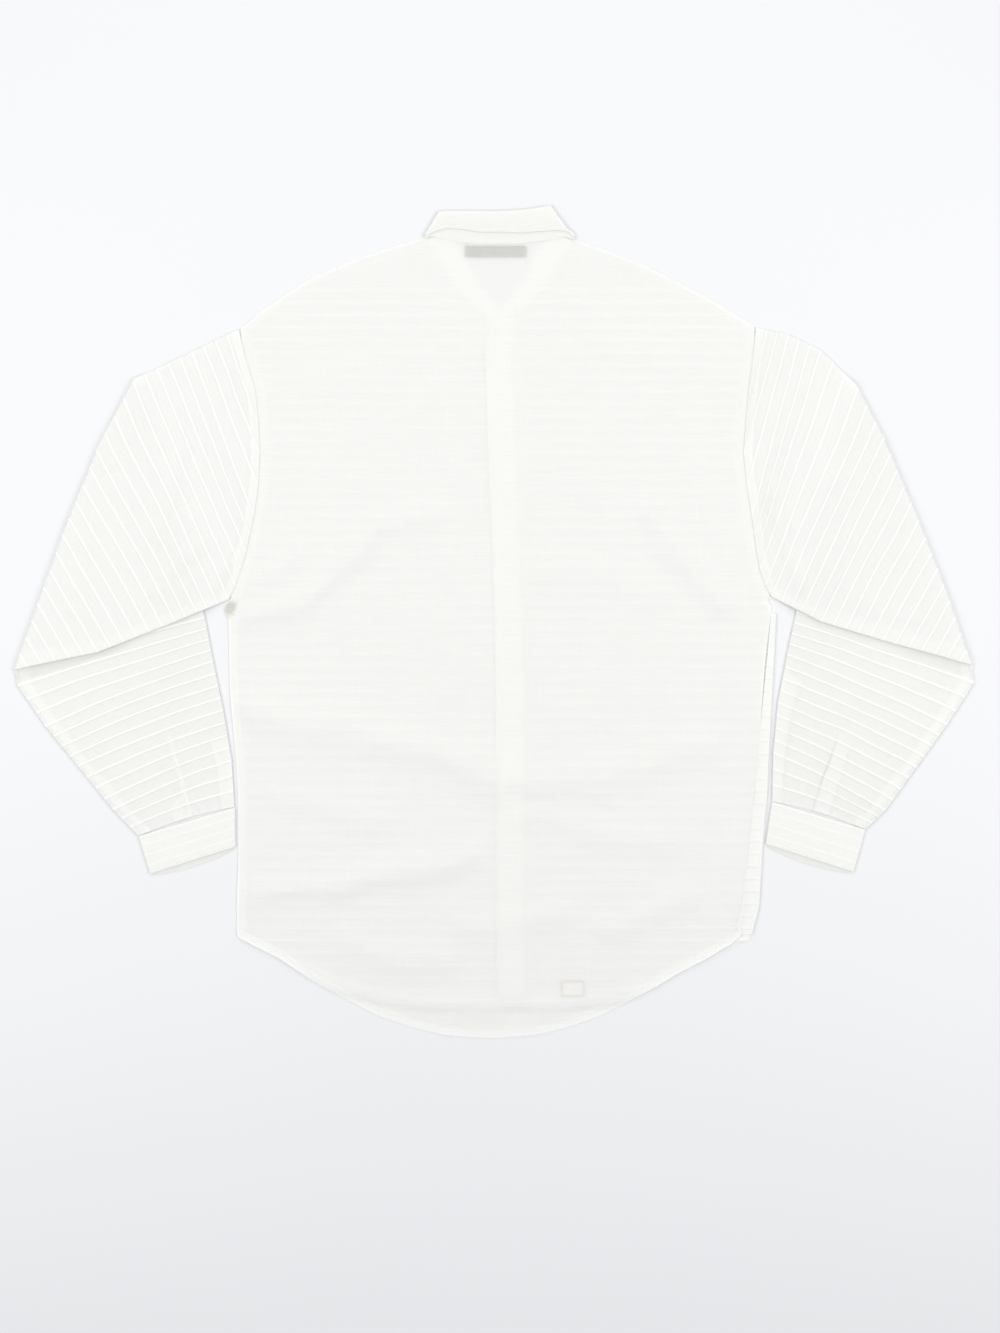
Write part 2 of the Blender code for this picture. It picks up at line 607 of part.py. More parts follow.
class Tube:
    """The flat sleeve: four faces between its folded top edge and its armhole and underarm seam."""

    def __init__(self, spec, fold):
        self.bm = bmesh.new()
        tops = [(k, fold.flat((x, y), False)) for k, x, y in spec["top"]]
        tops += [(k, fold.flat((x, y), True)) for k, x, y in spec["forearm_inner"]]
        lows = [(k, fold.flat((x, y), False)) for k, x, y in spec["armhole"] + spec["underarm"]]
        lows += [(k, fold.flat((x, y), True)) for k, x, y in spec["forearm_outer"]]
        self.top_at, self.low_at = path(tops), path(lows)
        self.seam = spec["armhole"][-1][0]
        self.elbow = spec["underarm"][-1][0]
        self.cap = fold.flat(spec["armhole_top"], False)
        foot = TUCK_WIDTH / 2 / FRONT_TUCK_PITCH
        self.ends = (1 - foot, SLEEVE_TUCKS - 1 + foot)
        self.top_keys = sorted({k for k, p in tops} | {4.5, 13, 17, 22, *self.ends})
        self.low_keys = sorted({k for k, p in lows} | {11, 17, 23, *self.ends})

    def vertex(self, k, u, inset, height):
        """A vertex on tuck line k, at share u of its length inside the inset ends."""
        start, stop = np.array(self.top_at(k)), np.array(self.low_at(k))
        edge = inset / np.hypot(*(stop - start))
        point = start + (stop - start) * (edge + (1 - 2 * edge) * u)
        lift = FOREARM_BOW * ease((k - self.elbow) / 3) * math.sin(math.pi * u)
        return self.bm.verts.new((point[0] - lift, point[1], height))

    def face(self, height, inset, lines, sign):
        """One face, as its chains along the top edge and the lower edge, and its cap point."""
        top = [(k, self.vertex(k, 0.0, inset, height)) for k in self.top_keys]
        low = [(k, self.vertex(k, 1.0, inset if k >= self.seam else 0.0, height)) for k in self.low_keys]
        cap = self.bm.verts.new((*self.cap, height))
        block = []
        for k, rise in lines:
            pleat = PLEAT_RISE * ease((k - PLEAT_ROWS[0]) / (PLEAT_ROWS[1] - PLEAT_ROWS[0])) if sign < 0 else 0.0
            block.append([self.vertex(k, u, inset, height + sign * (rise + pleat * (i == PLEAT_COLUMN)))
                          for i, u in enumerate(COLUMNS)])
        grid(self.bm, block)
        keys = [k for k, rise in lines]
        for chain, column in ((top, 0), (low, -1)):
            inside = [(k, v) for k, v in chain if keys[0] <= k <= keys[-1]]
            stitch(self.bm, [k for k, v in inside], [v for k, v in inside], keys,
                   [line[column] for line in block])
        before = [v for k, v in low if k <= keys[0]][::-1] + [cap] + [v for k, v in top if k <= keys[0]]
        after = [v for k, v in low if k >= keys[-1]] + [v for k, v in reversed(top) if k >= keys[-1]]
        face(self.bm, block[0] + before)
        face(self.bm, block[-1] + after)
        return top, low, cap

    def edge_wall(self, upper, lower, which, out):
        """The wall along the top edge (0) or the underarm seam (1), rounded outwards by out."""
        picked = [(k, a, b) for (k, a), (_, b) in zip(upper[which], lower[which])
                  if which == 0 or k >= self.seam]
        columns = [[a for k, a, b in picked]]
        if out:
            middle = []
            for k, a, b in picked:
                across_row = np.array(self.top_at(k)) - np.array(self.low_at(k))
                push = across_row / np.hypot(*across_row) * (out if which == 0 else -out)
                at = (a.co + b.co) / 2
                middle.append(self.bm.verts.new((at.x + push[0], at.y + push[1], at.z)))
            columns.append(middle)
        columns.append([b for k, a, b in picked])
        grid(self.bm, columns)
        return [[column[0] for column in columns], [column[-1] for column in columns]]

    def close(self, top_out, top_in, low_in, low_out):
        """The walls between the faces, and the rims of the open armhole and cuff ends."""
        for which in (0, 1):
            outside = self.edge_wall(top_out, low_out, which, ROUND_OUT)
            inside = self.edge_wall(top_in, low_in, which, 0.0)
            for first, second in zip(outside, inside):
                face(self.bm, first + second[::-1])
        for outer, inner in ((top_out, top_in), (low_out, low_in)):
            rims = [[layer[0][0][1], layer[2]] + [v for k, v in layer[1] if k <= self.seam]
                    for layer in (outer, inner)]
            grid(self.bm, rims)
            grid(self.bm, [[layer[0][-1][1], layer[1][-1][1]] for layer in (outer, inner)])


def path(rows):
    """Position in the flat sleeve as a function of the tuck number."""
    along = table([(k, p[0]) for k, p in rows])
    past = table([(k, p[1]) for k, p in rows])
    return lambda k: (along(k), past(k))


def tuck_lines(start, stop):
    """Foot, crest and foot of each tuck from number start to number stop."""
    foot = TUCK_WIDTH / 2 / FRONT_TUCK_PITCH
    lines = []
    for number in range(start, stop + 1):
        lines += [(number - foot, 0.0), (number, TUCK_HEIGHT), (number + foot, 0.0)]
    return lines


def sleeve(side, spec):
    """One sleeve, a flattened tube of tucked cloth that is folded under along the elbow line."""
    fold = Fold(spec)
    tube = Tube(spec, fold)
    elbow = tube.elbow
    first, last = tube.ends
    coarse = [(k, 0.0) for k in (first, *COARSE_ROWS, last)]
    upper_tucks = tuck_lines(1, elbow - 1)
    lower_tucks = tuck_lines(elbow + 1, SLEEVE_TUCKS - 1)
    tube.close(
        tube.face(TUBE, 0.0, upper_tucks + [line for line in coarse if line[0] > elbow - 0.5], 1),
        tube.face(TUBE - WALL, WALL + 0.3, coarse, 1),
        tube.face(WALL, WALL + 0.3, coarse, 1),
        tube.face(0.0, 0.0, [line for line in coarse if line[0] < elbow + 0.5] + lower_tucks, -1),
    )
    bend_over(tube.bm, fold)
    return finish(f"sleeve_{side}", tube.bm, CLOTH, spec["mirror"])


def bend_over(bm, fold):
    """Cuts the flat sleeve where it bends and where it comes down to the floor, and folds it."""
    for i in range(BEND_STEPS + 1):
        cut(bm, bm.faces[:], Vector((0, BEND_LENGTH * i / BEND_STEPS, 0)), Vector((0, 1, 0)))
    normal = Vector((float(fold.aside @ fold.along), float(fold.aside @ fold.out), 0.0))
    for distance in STEP_DOWN:
        point = fold.edge_start + fold.aside * distance - fold.start
        upper = [f for f in bm.faces if all(v.co.y <= 0.001 for v in f.verts)]
        cut(bm, upper, Vector((float(point @ fold.along), float(point @ fold.out), 0.0)), normal)
    bmesh.ops.triangulate(bm, faces=bm.faces)
    for vertex in bm.verts:
        vertex.co = Vector(fold.laid(*vertex.co))


def cut(bm, faces, point, normal):
    """Splits faces along a plane."""
    edges = {edge for f in faces for edge in f.edges}
    corners = {vertex for f in faces for vertex in f.verts}
    bmesh.ops.bisect_plane(bm, geom=[*faces, *edges, *corners], dist=0.001, plane_co=point, plane_no=normal)


def cuff(side, spec):
    """A flat ring of cloth at the end of the forearm, open at both ends."""
    corners = [np.array(p, float) for p in spec["cuff"]]
    steps = 7
    bm = bmesh.new()
    outer, inner = [], []
    for share in (0.0, 0.5, 1.0):
        a = corners[0] + (corners[3] - corners[0]) * share
        b = corners[1] + (corners[2] - corners[1]) * share
        down = (corners[3] - corners[0]) / np.hypot(*(corners[3] - corners[0]))
        width = np.hypot(*(b - a))
        for ring, inset, high, low in ((outer, 0.0, CUFF_TOP, 0.0),
                                       (inner, WALL, CUFF_TOP - WALL, WALL)):
            loop = []
            side_share = (inset + 0.2) / width
            us = [side_share + (1 - 2 * side_share) * i / steps for i in range(steps + 1)]
            for u in us:
                loop.append((*(a + (b - a) * u), high))
            reach = ROUND_OUT - inset
            middle = (high + low) / 2
            loop.append((*(a + (b - a) * (1 + reach / width)), middle))
            for u in us[::-1]:
                mouth = down * CUFF_MOUTH * math.sqrt(math.sin(math.pi * u)) * (share == 1.0)
                loop.append((*(a + (b - a) * u + mouth), low))
            loop.append((*(a + (b - a) * (-reach / width)), middle))
            ring.append([bm.verts.new(co) for co in loop])
    for rings in (outer, inner):
        grid(bm, [ring + ring[:1] for ring in rings])
    for i in (0, -1):
        grid(bm, (outer[i] + outer[i][:1], inner[i] + inner[i][:1]))
    return finish(f"cuff_{side}", bm, CLOTH, spec["mirror"])


def main():
    clear_scene()
    front_left()
    front_right()
    opening()
    back()
    collar()
    labels()
    for side, spec in SLEEVES.items():
        sleeve(side, spec)
        cuff(side, spec)


main()
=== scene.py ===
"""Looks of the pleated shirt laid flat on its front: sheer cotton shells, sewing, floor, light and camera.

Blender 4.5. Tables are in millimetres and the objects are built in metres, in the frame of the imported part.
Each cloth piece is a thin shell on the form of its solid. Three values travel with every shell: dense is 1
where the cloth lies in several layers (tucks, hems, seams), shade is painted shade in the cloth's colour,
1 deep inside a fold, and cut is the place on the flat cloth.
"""

import math

import bmesh
import bpy
import numpy as np
from mathutils import Matrix, Vector
from mathutils.bvhtree import BVHTree


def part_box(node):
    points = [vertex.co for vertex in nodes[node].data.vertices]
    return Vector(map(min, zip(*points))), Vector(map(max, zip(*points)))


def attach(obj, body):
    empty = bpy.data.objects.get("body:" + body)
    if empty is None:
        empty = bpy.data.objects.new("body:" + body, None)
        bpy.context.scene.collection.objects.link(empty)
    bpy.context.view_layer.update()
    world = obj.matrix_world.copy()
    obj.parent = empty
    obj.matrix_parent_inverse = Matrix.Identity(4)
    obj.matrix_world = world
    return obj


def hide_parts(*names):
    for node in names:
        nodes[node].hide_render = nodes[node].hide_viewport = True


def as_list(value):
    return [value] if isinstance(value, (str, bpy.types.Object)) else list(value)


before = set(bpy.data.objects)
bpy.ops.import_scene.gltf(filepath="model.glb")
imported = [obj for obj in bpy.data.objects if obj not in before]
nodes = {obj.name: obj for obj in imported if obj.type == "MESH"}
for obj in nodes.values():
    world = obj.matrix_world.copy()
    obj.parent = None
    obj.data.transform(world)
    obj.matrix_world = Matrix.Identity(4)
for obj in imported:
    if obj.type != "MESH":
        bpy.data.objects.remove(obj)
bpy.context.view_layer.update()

MM = 0.001

# Camera: the photograph's frame is this high on the floor, and its middle lies here
VIEW_HEIGHT = 1.4396
VIEW_CENTRE = (0.0059, -0.0486)
LENS = 50.0
SENSOR = 36.0

# Cloth
CLOTH = 0.5           # thickness of a shell
BAND = 0.6            # thickness of a folded band, such as the placket
FOLDED_BAND = 0.7     # and of the fall and the cuffs
RIBBON = 0.3          # and of the labels
FLOOR_GAP = 0.05
FRONT_TOP = FLOOR_GAP + CLOTH
BACK_LOW = 2.1        # underside of the back over the fronts
OVER_STAND = 0.5      # how far the placket and the button stand lift the back
SEAM_LOW = 0.8        # underside of the back where it is sewn to the fronts
SEAM_REACH = 9.0      # and how far from the seam it takes to rise

# Tucks: offset from the tuck's line and rise; the folded edge is the steep one
TUCK_PROFILE = ((-1.4, 0.0), (-1.1, 0.24), (-0.4, 0.34), (0.4, 0.31), (0.9, 0.17), (1.5, 0.0))
BETWEEN_TUCKS = (0.32, 0.5, 0.68)
FRONT_TUCKS = 57
FRONT_TUCK_TOP = 358.0
TUCK_PITCH = 13.5
HEM_BAND = 8.5
HEM_ROW = HEM_BAND - 1.2
HEM_CORNER = -329.0   # the hem ends at the side seams, below this
SEAM_ALLOWANCE = 9.0
ARMHOLE = (22.0, 312.0)
FLANGE = 4.5          # how far the back's edge lies inside the sleeve's
NECK_MIDDLE = 6.0
NECK_HALF = 72.0      # half the width of the neck seam
NECK_FOOT = 342.0     # foot of the V
PRINT_WIDTH = 2.1     # of a tuck's print in the back, its rise and how dense it looks
PRINT_RISE = 0.16
PRINT_DENSE = 0.13

# Small shaded pockets where body and sleeve seams meet
UNDERARM = (
    # x, y, size, shade, how far the back reaches out there
    (-287.0, 14.0, 7.5, 1.5, 6.0),
    (301.0, 22.0, 4.5, 1.0, 2.5),
)

# The right front's side that is turned up over the back's edge: its stretch, place and width of the strip
TURNED = (-338.0, 10.0)
TURNED_TUCKS_FROM = -45.0
TURNED_WIDTH = ((-345, 10.5), (-326, 19), (-249, 14), (-202, 13), (-153, 12), (-37, 6.5), (14, 4.7),
                (26, 0.8))
TURN_RADIUS = 0.92

SQUARE = (-330.0, 296.0)        # between these places the back's rows run straight across
CORNERS = (-335.0, 313.5)       # of its hem and of its shoulders

# Creases of the back, the strongest one counts where they meet
BACK_CREASES = (
    # x0, y0, x1, y1, half width, height
    (-277, 3, -203, 30, 13, 4.2),
    (-203, 30, -122, 103, 14, 4.9),
    (-122, 103, -65, 114, 15, 3.1),
    (-262, 40, -214, 76, 12, 2.5),
    (-275, -96, -102, -131, 20, 3.8),
    (-102, -131, 0, -174, 22, 4.8),
    (0, -174, 114, -171, 22, 4.1),
    (114, -171, 222, -139, 20, 3.1),
    (-267, -295, -173, -285, 15, 3.1),
    (-173, -285, -30, -254, 16, 4.1),
    (163, 114, 244, 22, 14, 4.1),
    (40, -210, 190, -236, 18, 2.2),
    (-230, -190, -120, -214, 16, 2.0),
    (60, 60, 170, 30, 18, 1.8),
    (-240, 235, -150, 262, 20, 1.5),
    (110, 300, 232, 268, 20, 1.5),
    (-30, -330, 80, -318, 16, 2.0),
    (120, -330, 205, -300, 15, 2.2),
    (-160, -350, -60, -372, 15, 2.0),
)

# Sewing
STITCH = 2.3          # length of a stitch
STITCH_PITCH = 2.9
THREAD = 0.34         # its width
EDGE_ROW = 2.2        # from a band's edge to its row of stitches

# Collar
STAND_ENDS = (-75.0, 86.0)
STAND_TOP = 3.1
FALL_LEVEL = 3.4
FALL_ROLL = 1.1

# Shades of what lies in half shadow
NECK_SHADE = 0.11
LABEL_SHADE = 0.42
TAIL_SHADE = 0.10
FOREARM_SHADE = 0.06
CUFF_SHADE = 0.05

# Sleeve, as a flat tube that is folded under along the elbow line
TUBE = 2.6
LIFT = 3.4
BEND_INNER = (LIFT - TUBE) / 2
BEND_MEAN = BEND_INNER + TUBE / 2
BEND_LENGTH = math.pi * BEND_MEAN
BEND_REACH = BEND_INNER + TUBE
BEND_STEPS = 8
STEP_DOWN = (1.5, 26.0)
BOW_FADE = 60.0
FOREARM_BOW = 4.0
SLEEVE_TUCKS = 41
SEAM_ROW = 9          # tuck at the foot of the armhole
ELBOW_ROW = 26
PLEATED = (0.36, 0.66)         # shares across the sleeve between which the pleat above the cuff lies
CUFF_TOP = 3.1
CUFF_UNDER = 0.1
CUFF_HEIGHT = 42
CUFF_TUCKS = (0.25, 0.52, 0.78)
CUFF_ROWS = (0.055, 0.945)
CUFF_MOUTH = 7.0
ROUND_OUT = 0.8                # how far the rounded sides of sleeves and cuffs stand out

# Each sleeve is drawn as the left one. Tables give tuck number and place, x and y, as it finally lies.
# pleat: tuck number, share across for the edge of the pleat above the cuff, share for its wedge's far side
# line_tones: pleat's edge bright, painted shadow at the pleat's edge, painted shade at the vent's edge
# creases: x0, y0, x1, y1, half width, height
# in_fold: share across where the shaded cloth under the elbow begins, tucks that it takes in, its shade
SLEEVES = {
    "left": {
        "mirror": 1,
        "top": ((0, -276, 315), (9, -390, 260)),
        "armhole": ((0, -258.9, 252), (1, -254.6, 210), (2, -253.6, 181), (3, -255.1, 146), (4, -260.2, 113),
                    (5, -264.4, 93), (6, -268.2, 75), (7, -273.8, 57), (8, -280, 39), (9, -287, 24)),
        "cap": 2.2,
        "underarm": ((14, -344, 0), (20, -428, -33), (26, -518, -52)),
        "fold": ((-390, 260), (-518, -52)),
        "bow": ((0, 0.0), (76, 7.8), (170, 7.9), (255, 4.2), (337, 0.0)),
        "forearm_inner": ((26, -313, 4), (30, -304, -43), (34, -293, -96), (38, -284, -150),
                          (41, -281, -200)),
        "forearm_outer": ((27, -514, -69), (30, -484, -113), (34, -449, -156), (38, -411, -203),
                          (41, -384, -231)),
        "cuff": ((-383.6, -231.6), (-280.4, -200.6), (-280, -243), (-371, -272)),
        "pleat": ((33.5, 0.39, 0.40), (39.2, 0.443, 0.465), (39.7, 0.447, 0.60), (41, 0.46, 0.64)),
        "vent": (35.5, 0.12),
        "line_tones": (0.8, 0.0, 0.0),
        "creases": ((-368, 28, -314, 82, 6, 3.0), (-331, 198, -356, 90, 10, 1.7),
                    (-430, 120, -462, 20, 12, 1.4), (-300, 250, -322, 170, 10, 1.2),
                    (-288, 62, -306, 34, 6, 2.4), (-300, 60, -352, 22, 8, 1.2)),
        "in_fold": (0.30, 0.92, 0.30),
        "seed": 11,
    },
    "right": {
        "mirror": -1,
        "top": ((0, -282, 317), (3, -317, 309), (6, -352, 292), (9, -392, 252)),
        "armhole": ((0, -274.5, 252), (1, -271, 210), (2, -269, 181), (3, -272.8, 146), (4, -277.8, 113),
                    (5, -280.5, 93), (6, -283.1, 75), (7, -286.4, 57), (8, -292.6, 39), (9, -299, 27)),
        "cap": 2.0,
        "underarm": ((14, -352, 0), (20, -432, -24), (26, -515, -47)),
        "fold": ((-392, 252), (-515, -47)),
        "bow": ((0, 0.0), (60, 5.5), (150, 6.4), (240, 5.0), (323, 0.0)),
        "forearm_inner": ((26, -326, 10), (30, -316, -36), (34, -306, -88), (38, -301, -142),
                          (41, -300, -194)),
        "forearm_outer": ((27, -517, -66), (30, -488, -111), (34, -455, -157), (38, -421, -204),
                          (41, -400, -224)),
        "cuff": ((-399.6, -224.6), (-299.8, -194.7), (-293, -240), (-387, -270)),
        "pleat": ((33.2, 0.47, 0.53), (41, 0.45, 0.62)),
        "vent": (31, 0.11),
        "line_tones": (0.0, 0.55, 0.4),
        "creases": ((-296, 131, -325, 34, 8, 3.0), (-430, 110, -470, 10, 12, 1.3),
                    (-330, 250, -352, 150, 12, 1.4), (-352, 60, -410, 10, 9, 1.2)),
        "in_fold": (0.50, 0.75, 0.22),
        "seed": 23,
    },
}

# Colours, linear
FLOOR_COLOUR = (0.690, 0.694, 0.697)
SHEER = (0.980, 0.977, 0.946)
DENSE = (0.980, 0.976, 0.944)
# The collar's darker white: partly the cloth's level, partly painted shade over the collar stand
BAND_WHITE = (0.912, 0.909, 0.872)
# The colour that painted shade turns the cloth towards
SHADED = (0.70, 0.685, 0.625)
LABEL_GREY = (0.01, 0.01, 0.01)
LABEL_PALE = (0.24, 0.24, 0.24)
# The care tag's edge colour is painted shade along its outline
TAG_EDGE_SHADE = (0.42, 0.39, 0.36)
TAG_FACE = (0.84, 0.78, 0.73)

# Lights
LIGHT_COLOUR = (1.01, 1.0, 0.985)
LIGHTS = (
    # name, place, aim, size, power
    ("key", (0.0, 1.6, 1.0), (0.0, 0.2, 0.0), (2.4, 0.6), 10.6),
    ("over", (0.0, 0.3, 2.6), (0.0, 0.2, 0.0), (1.4, 1.2), 8.0),
    ("left", (-1.25, -0.1, 1.4), (0.0, 0.0, 0.0), (1.0, 0.8), 13.7),
    ("right", (1.25, -0.1, 1.4), (0.0, 0.0, 0.0), (1.0, 0.8), 13.7),
)
WORLD_COLOUR = (0.95, 0.98, 1.04, 1.0)
WORLD_STRENGTH = 0.57


def ease(value):
    """Smooth step from 0 to 1."""
    value = np.clip(value, 0.0, 1.0)
    return value * value * (3 - 2 * value)


def noise(x, y, size, seed):
    """A smooth random field from -1 to 1 whose hills are about that many millimetres across."""
    cells = np.random.default_rng(seed).uniform(-1, 1, (97, 97))
    u, v = np.asarray(x) / size, np.asarray(y) / size
    i, j = np.floor(u).astype(int), np.floor(v).astype(int)
    s, t = ease(u - i), ease(v - j)
    i0, i1, j0, j1 = i % 97, (i + 1) % 97, j % 97, (j + 1) % 97
    near = cells[i0, j0] * (1 - s) + cells[i1, j0] * s
    far = cells[i0, j1] * (1 - s) + cells[i1, j1] * s
    return near * (1 - t) + far * t


def creases(x, y, rows, seed):
    """Rise of soft ridges between points. Their lines wander a little, and the strongest counts."""
    total = np.zeros(np.broadcast(x, y).shape)
    wander = 7.0 * noise(x, y, 55, seed) + 3.0 * noise(x, y, 23, seed + 1)
    for x0, y0, x1, y1, half_width, height in rows:
        length = math.hypot(x1 - x0, y1 - y0)
        along = ((x - x0) * (x1 - x0) + (y - y0) * (y1 - y0)) / length
        aside = ((x - x0) * (y1 - y0) - (y - y0) * (x1 - x0)) / length + wander
        beyond = np.maximum(np.maximum(-along, along - length), 0.0)
        total = np.maximum(total, height * np.exp(-(aside ** 2 + beyond ** 2) / half_width ** 2))
    return total


def reach(names, axis):
    """Lowest and highest place of some solids along the other plan axis, by the place along this one."""
    starts, ends = [], []
    for name in names:
        mesh = nodes[name].data
        points = np.array([v.co[:2] for v in mesh.vertices]) / MM
        pairs = np.array([e.vertices[:] for e in mesh.edges])
        starts.append(points[pairs[:, 0]])
        ends.append(points[pairs[:, 1]])
    a, b = np.concatenate(starts), np.concatenate(ends)
    first, last = a[:, axis].min(), a[:, axis].max()
    stations = np.linspace(first + 0.02, last - 0.02, int(last - first) + 3)
    lows, highs = [], []
    for station in stations:
        span = b[:, axis] - a[:, axis]
        crossing = ((a[:, axis] - station) * (b[:, axis] - station) <= 0) & (np.abs(span) > 1e-6)
        share = (station - a[crossing, axis]) / span[crossing]
        other = a[crossing, 1 - axis] + share * (b[crossing, 1 - axis] - a[crossing, 1 - axis])
        lows.append(other.min())
        highs.append(other.max())
    return (lambda at: np.interp(at, stations, lows)), (lambda at: np.interp(at, stations, highs))


def edge_distance(x, y, line):
    """Distance of points from a chain of points."""
    best = np.full(np.broadcast(x, y).shape, 1e9)
    for (x0, y0), (x1, y1) in zip(line, line[1:]):
        length2 = (x1 - x0) ** 2 + (y1 - y0) ** 2
        share = np.clip(((x - x0) * (x1 - x0) + (y - y0) * (y1 - y0)) / length2, 0, 1)
        best = np.minimum(best, np.hypot(x - x0 - share * (x1 - x0), y - y0 - share * (y1 - y0)))
    return best


class Shell:
    """A cloth surface under construction, in millimetres."""

    def __init__(self):
        self.points, self.dense, self.shade, self.cut, self.faces = [], [], [], [], []
        self.count = 0

    def grid(self, x, y, z, dense=0.0, cut=None, flip=False, quads=True, shade=0.0):
        """Adds rows and columns of points with faces between them, and gives their numbers."""
        x, y, z, dense, shade = np.broadcast_arrays(x, y, z, dense, shade)
        cut_x, cut_y, _ = np.broadcast_arrays(*(cut or (x, y)), x)
        self.points.append(np.stack([x, y, z], -1).reshape(-1, 3))
        self.dense.append(np.clip(dense, 0, 1).reshape(-1))
        self.shade.append(np.clip(shade, 0, 1).reshape(-1))
        self.cut.append(np.stack([cut_x, cut_y, np.zeros_like(cut_x)], -1).reshape(-1, 3))
        numbers = np.arange(x.size).reshape(x.shape) + self.count
        self.count += x.size
        if quads:
            self.join(numbers, flip)
        return numbers

    def join(self, numbers, flip=False):
        """Adds the faces between rows of points that exist."""
        a, b, c, d = numbers[:-1, :-1], numbers[:-1, 1:], numbers[1:, 1:], numbers[1:, :-1]
        order = (a, d, c, b) if flip else (a, b, c, d)
        self.faces.append(np.stack(order, -1).reshape(-1, 4))

    def mesh(self, node):
        """The surface as a mesh that is named after its solid."""
        made = bpy.data.meshes.new(f"{node}_cloth")
        points, faces = np.concatenate(self.points), np.concatenate(self.faces)
        made.from_pydata((points * MM).tolist(), [], faces.tolist())
        for value in ("dense", "shade"):
            numbers = np.concatenate(getattr(self, value))
            made.attributes.new(value, "FLOAT", "POINT").data.foreach_set("value", numbers)
        made.attributes.new("cut", "FLOAT_VECTOR", "POINT").data.foreach_set(
            "vector", np.concatenate(self.cut).ravel())
        return made


def crisp_edges(mesh):
    """Marks the cloth's free edges sharp, so that the shading of its face doesn't turn down there."""
    sides = np.zeros(len(mesh.loops), np.int32)
    mesh.loops.foreach_get("edge_index", sides)
    free = np.bincount(sides, minlength=len(mesh.edges)) == 1
    mesh.attributes.new("sharp_edge", "BOOLEAN", "EDGE").data.foreach_set("value", free)


def show(name, mesh, material):
    """A new object of that mesh and material, in the scene."""
    made = bpy.data.objects.new(name, mesh)
    bpy.context.scene.collection.objects.link(made)
    made.data.materials.append(material)
    return made


def stitches(name, cloth, rows, slot):
    """Machine stitches along some rows of places on a cloth, as slim bodies that dip into it at both ends."""
    tree = BVHTree.FromPolygons([v.co for v in cloth.vertices], [f.vertices for f in cloth.polygons])
    half, wide, high = STITCH / 2, THREAD / 2, 0.12
    ring = ((wide, 0.0), (0.0, high), (-wide, 0.0), (0.0, -high))
    body = [(-half, 0.0, -0.1), *((-0.6 * half, *p) for p in ring), *((0.6 * half, *p) for p in ring),
            (half, 0.0, -0.1)]
    points, faces = [], []
    for row in rows:
        run = np.concatenate([[0.0], np.cumsum(np.hypot(*np.diff(row, axis=0).T))])
        for start in np.arange(0.0, run[-1] - STITCH, STITCH_PITCH):
            ends = [[np.interp(start + d, run, row[:, i]) for i in (0, 1)] for d in (0.0, STITCH)]
            hits = [tree.ray_cast(Vector((x * MM, y * MM, 1.0)), Vector((0, 0, -1)))[0] for x, y in ends]
            if None in hits:
                continue
            first, last = hits
            along = (last - first).normalized()
            aside = Vector((-along.y, along.x, 0.0)).normalized()
            up = along.cross(aside)
            n = len(points)
            points += [(first + last) / 2 + (along * a + aside * b + up * c) * MM for a, b, c in body]
            for i in range(4):
                j = (i + 1) % 4
                faces += [(n, n + 1 + j, n + 1 + i), (n + 1 + i, n + 1 + j, n + 5 + j, n + 5 + i),
                          (n + 5 + i, n + 5 + j, n + 9)]
    mesh = bpy.data.meshes.new(name)
    mesh.from_pydata(points, [], faces)
    mesh.shade_smooth()
    made = show(name, mesh, THREAD_WHITE)
    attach(made, "root")
    return made


def row_of(x, y):
    """A row of places from its coordinates."""
    return np.stack([np.ravel(x), np.ravel(y)], -1)


def place(mesh, material, slot="band_cotton", thickness=CLOTH, held="laid", rests_on=("floor",), sewn=()):
    """Shows a finished surface as cloth of that thickness in place of its solid, with its stitches."""
    node = mesh.name.removesuffix("_cloth")
    mesh.shade_smooth()
    crisp_edges(mesh)
    made = show(mesh.name, mesh, material)
    wall = made.modifiers.new("thickness", "SOLIDIFY")
    wall.thickness = thickness * MM
    wall.offset = -1.0
    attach(made, "root")
    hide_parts(node)
    thread = [stitches(f"{node}_stitches", mesh, sewn, slot)] if len(sewn) else []
    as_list(rests_on)
    return made


# Materials


def link(tree, source, target):
    """Joins two sockets."""
    tree.links.new(source, target)


def calc(tree, operation, *values):
    """A Math node. Values are numbers or sockets."""
    node = tree.nodes.new("ShaderNodeMath")
    node.operation = operation
    for i, value in enumerate(values):
        if isinstance(value, (int, float)):
            node.inputs[i].default_value = value
        else:
            link(tree, value, node.inputs[i])
    return node.outputs[0]


def mix(tree, share, low, high):
    """A colour between two colours."""
    node = tree.nodes.new("ShaderNodeMix")
    node.data_type = "RGBA"
    link(tree, share, node.inputs["Factor"])
    for name, value in (("A", low), ("B", high)):
        socket = next(s for s in node.inputs if s.name == name and s.type == "RGBA")
        if isinstance(value, tuple):
            socket.default_value = (*value, 1.0)
        else:
            link(tree, value, socket)
    return next(s for s in node.outputs if s.type == "RGBA")


def stretched_noise(tree, vector, scale, detail=0.0):
    """Noise of other sizes along x and y, per millimetre."""
    mapping = tree.nodes.new("ShaderNodeMapping")
    mapping.inputs["Scale"].default_value = (*scale, 1.0)
    link(tree, vector, mapping.inputs["Vector"])
    texture = tree.nodes.new("ShaderNodeTexNoise")
    texture.inputs["Scale"].default_value = 1.0
    texture.inputs["Detail"].default_value = detail
    link(tree, mapping.outputs["Vector"], texture.inputs["Vector"])
    return texture.outputs["Fac"]


def threads(tree, vector, direction, pitch):
    """Rows of threads across one direction."""
    texture = tree.nodes.new("ShaderNodeTexWave")
    texture.bands_direction = direction
    texture.inputs["Scale"].default_value = 2 * math.pi / 20 / pitch
    link(tree, vector, texture.inputs["Vector"])
    return texture.outputs["Fac"]


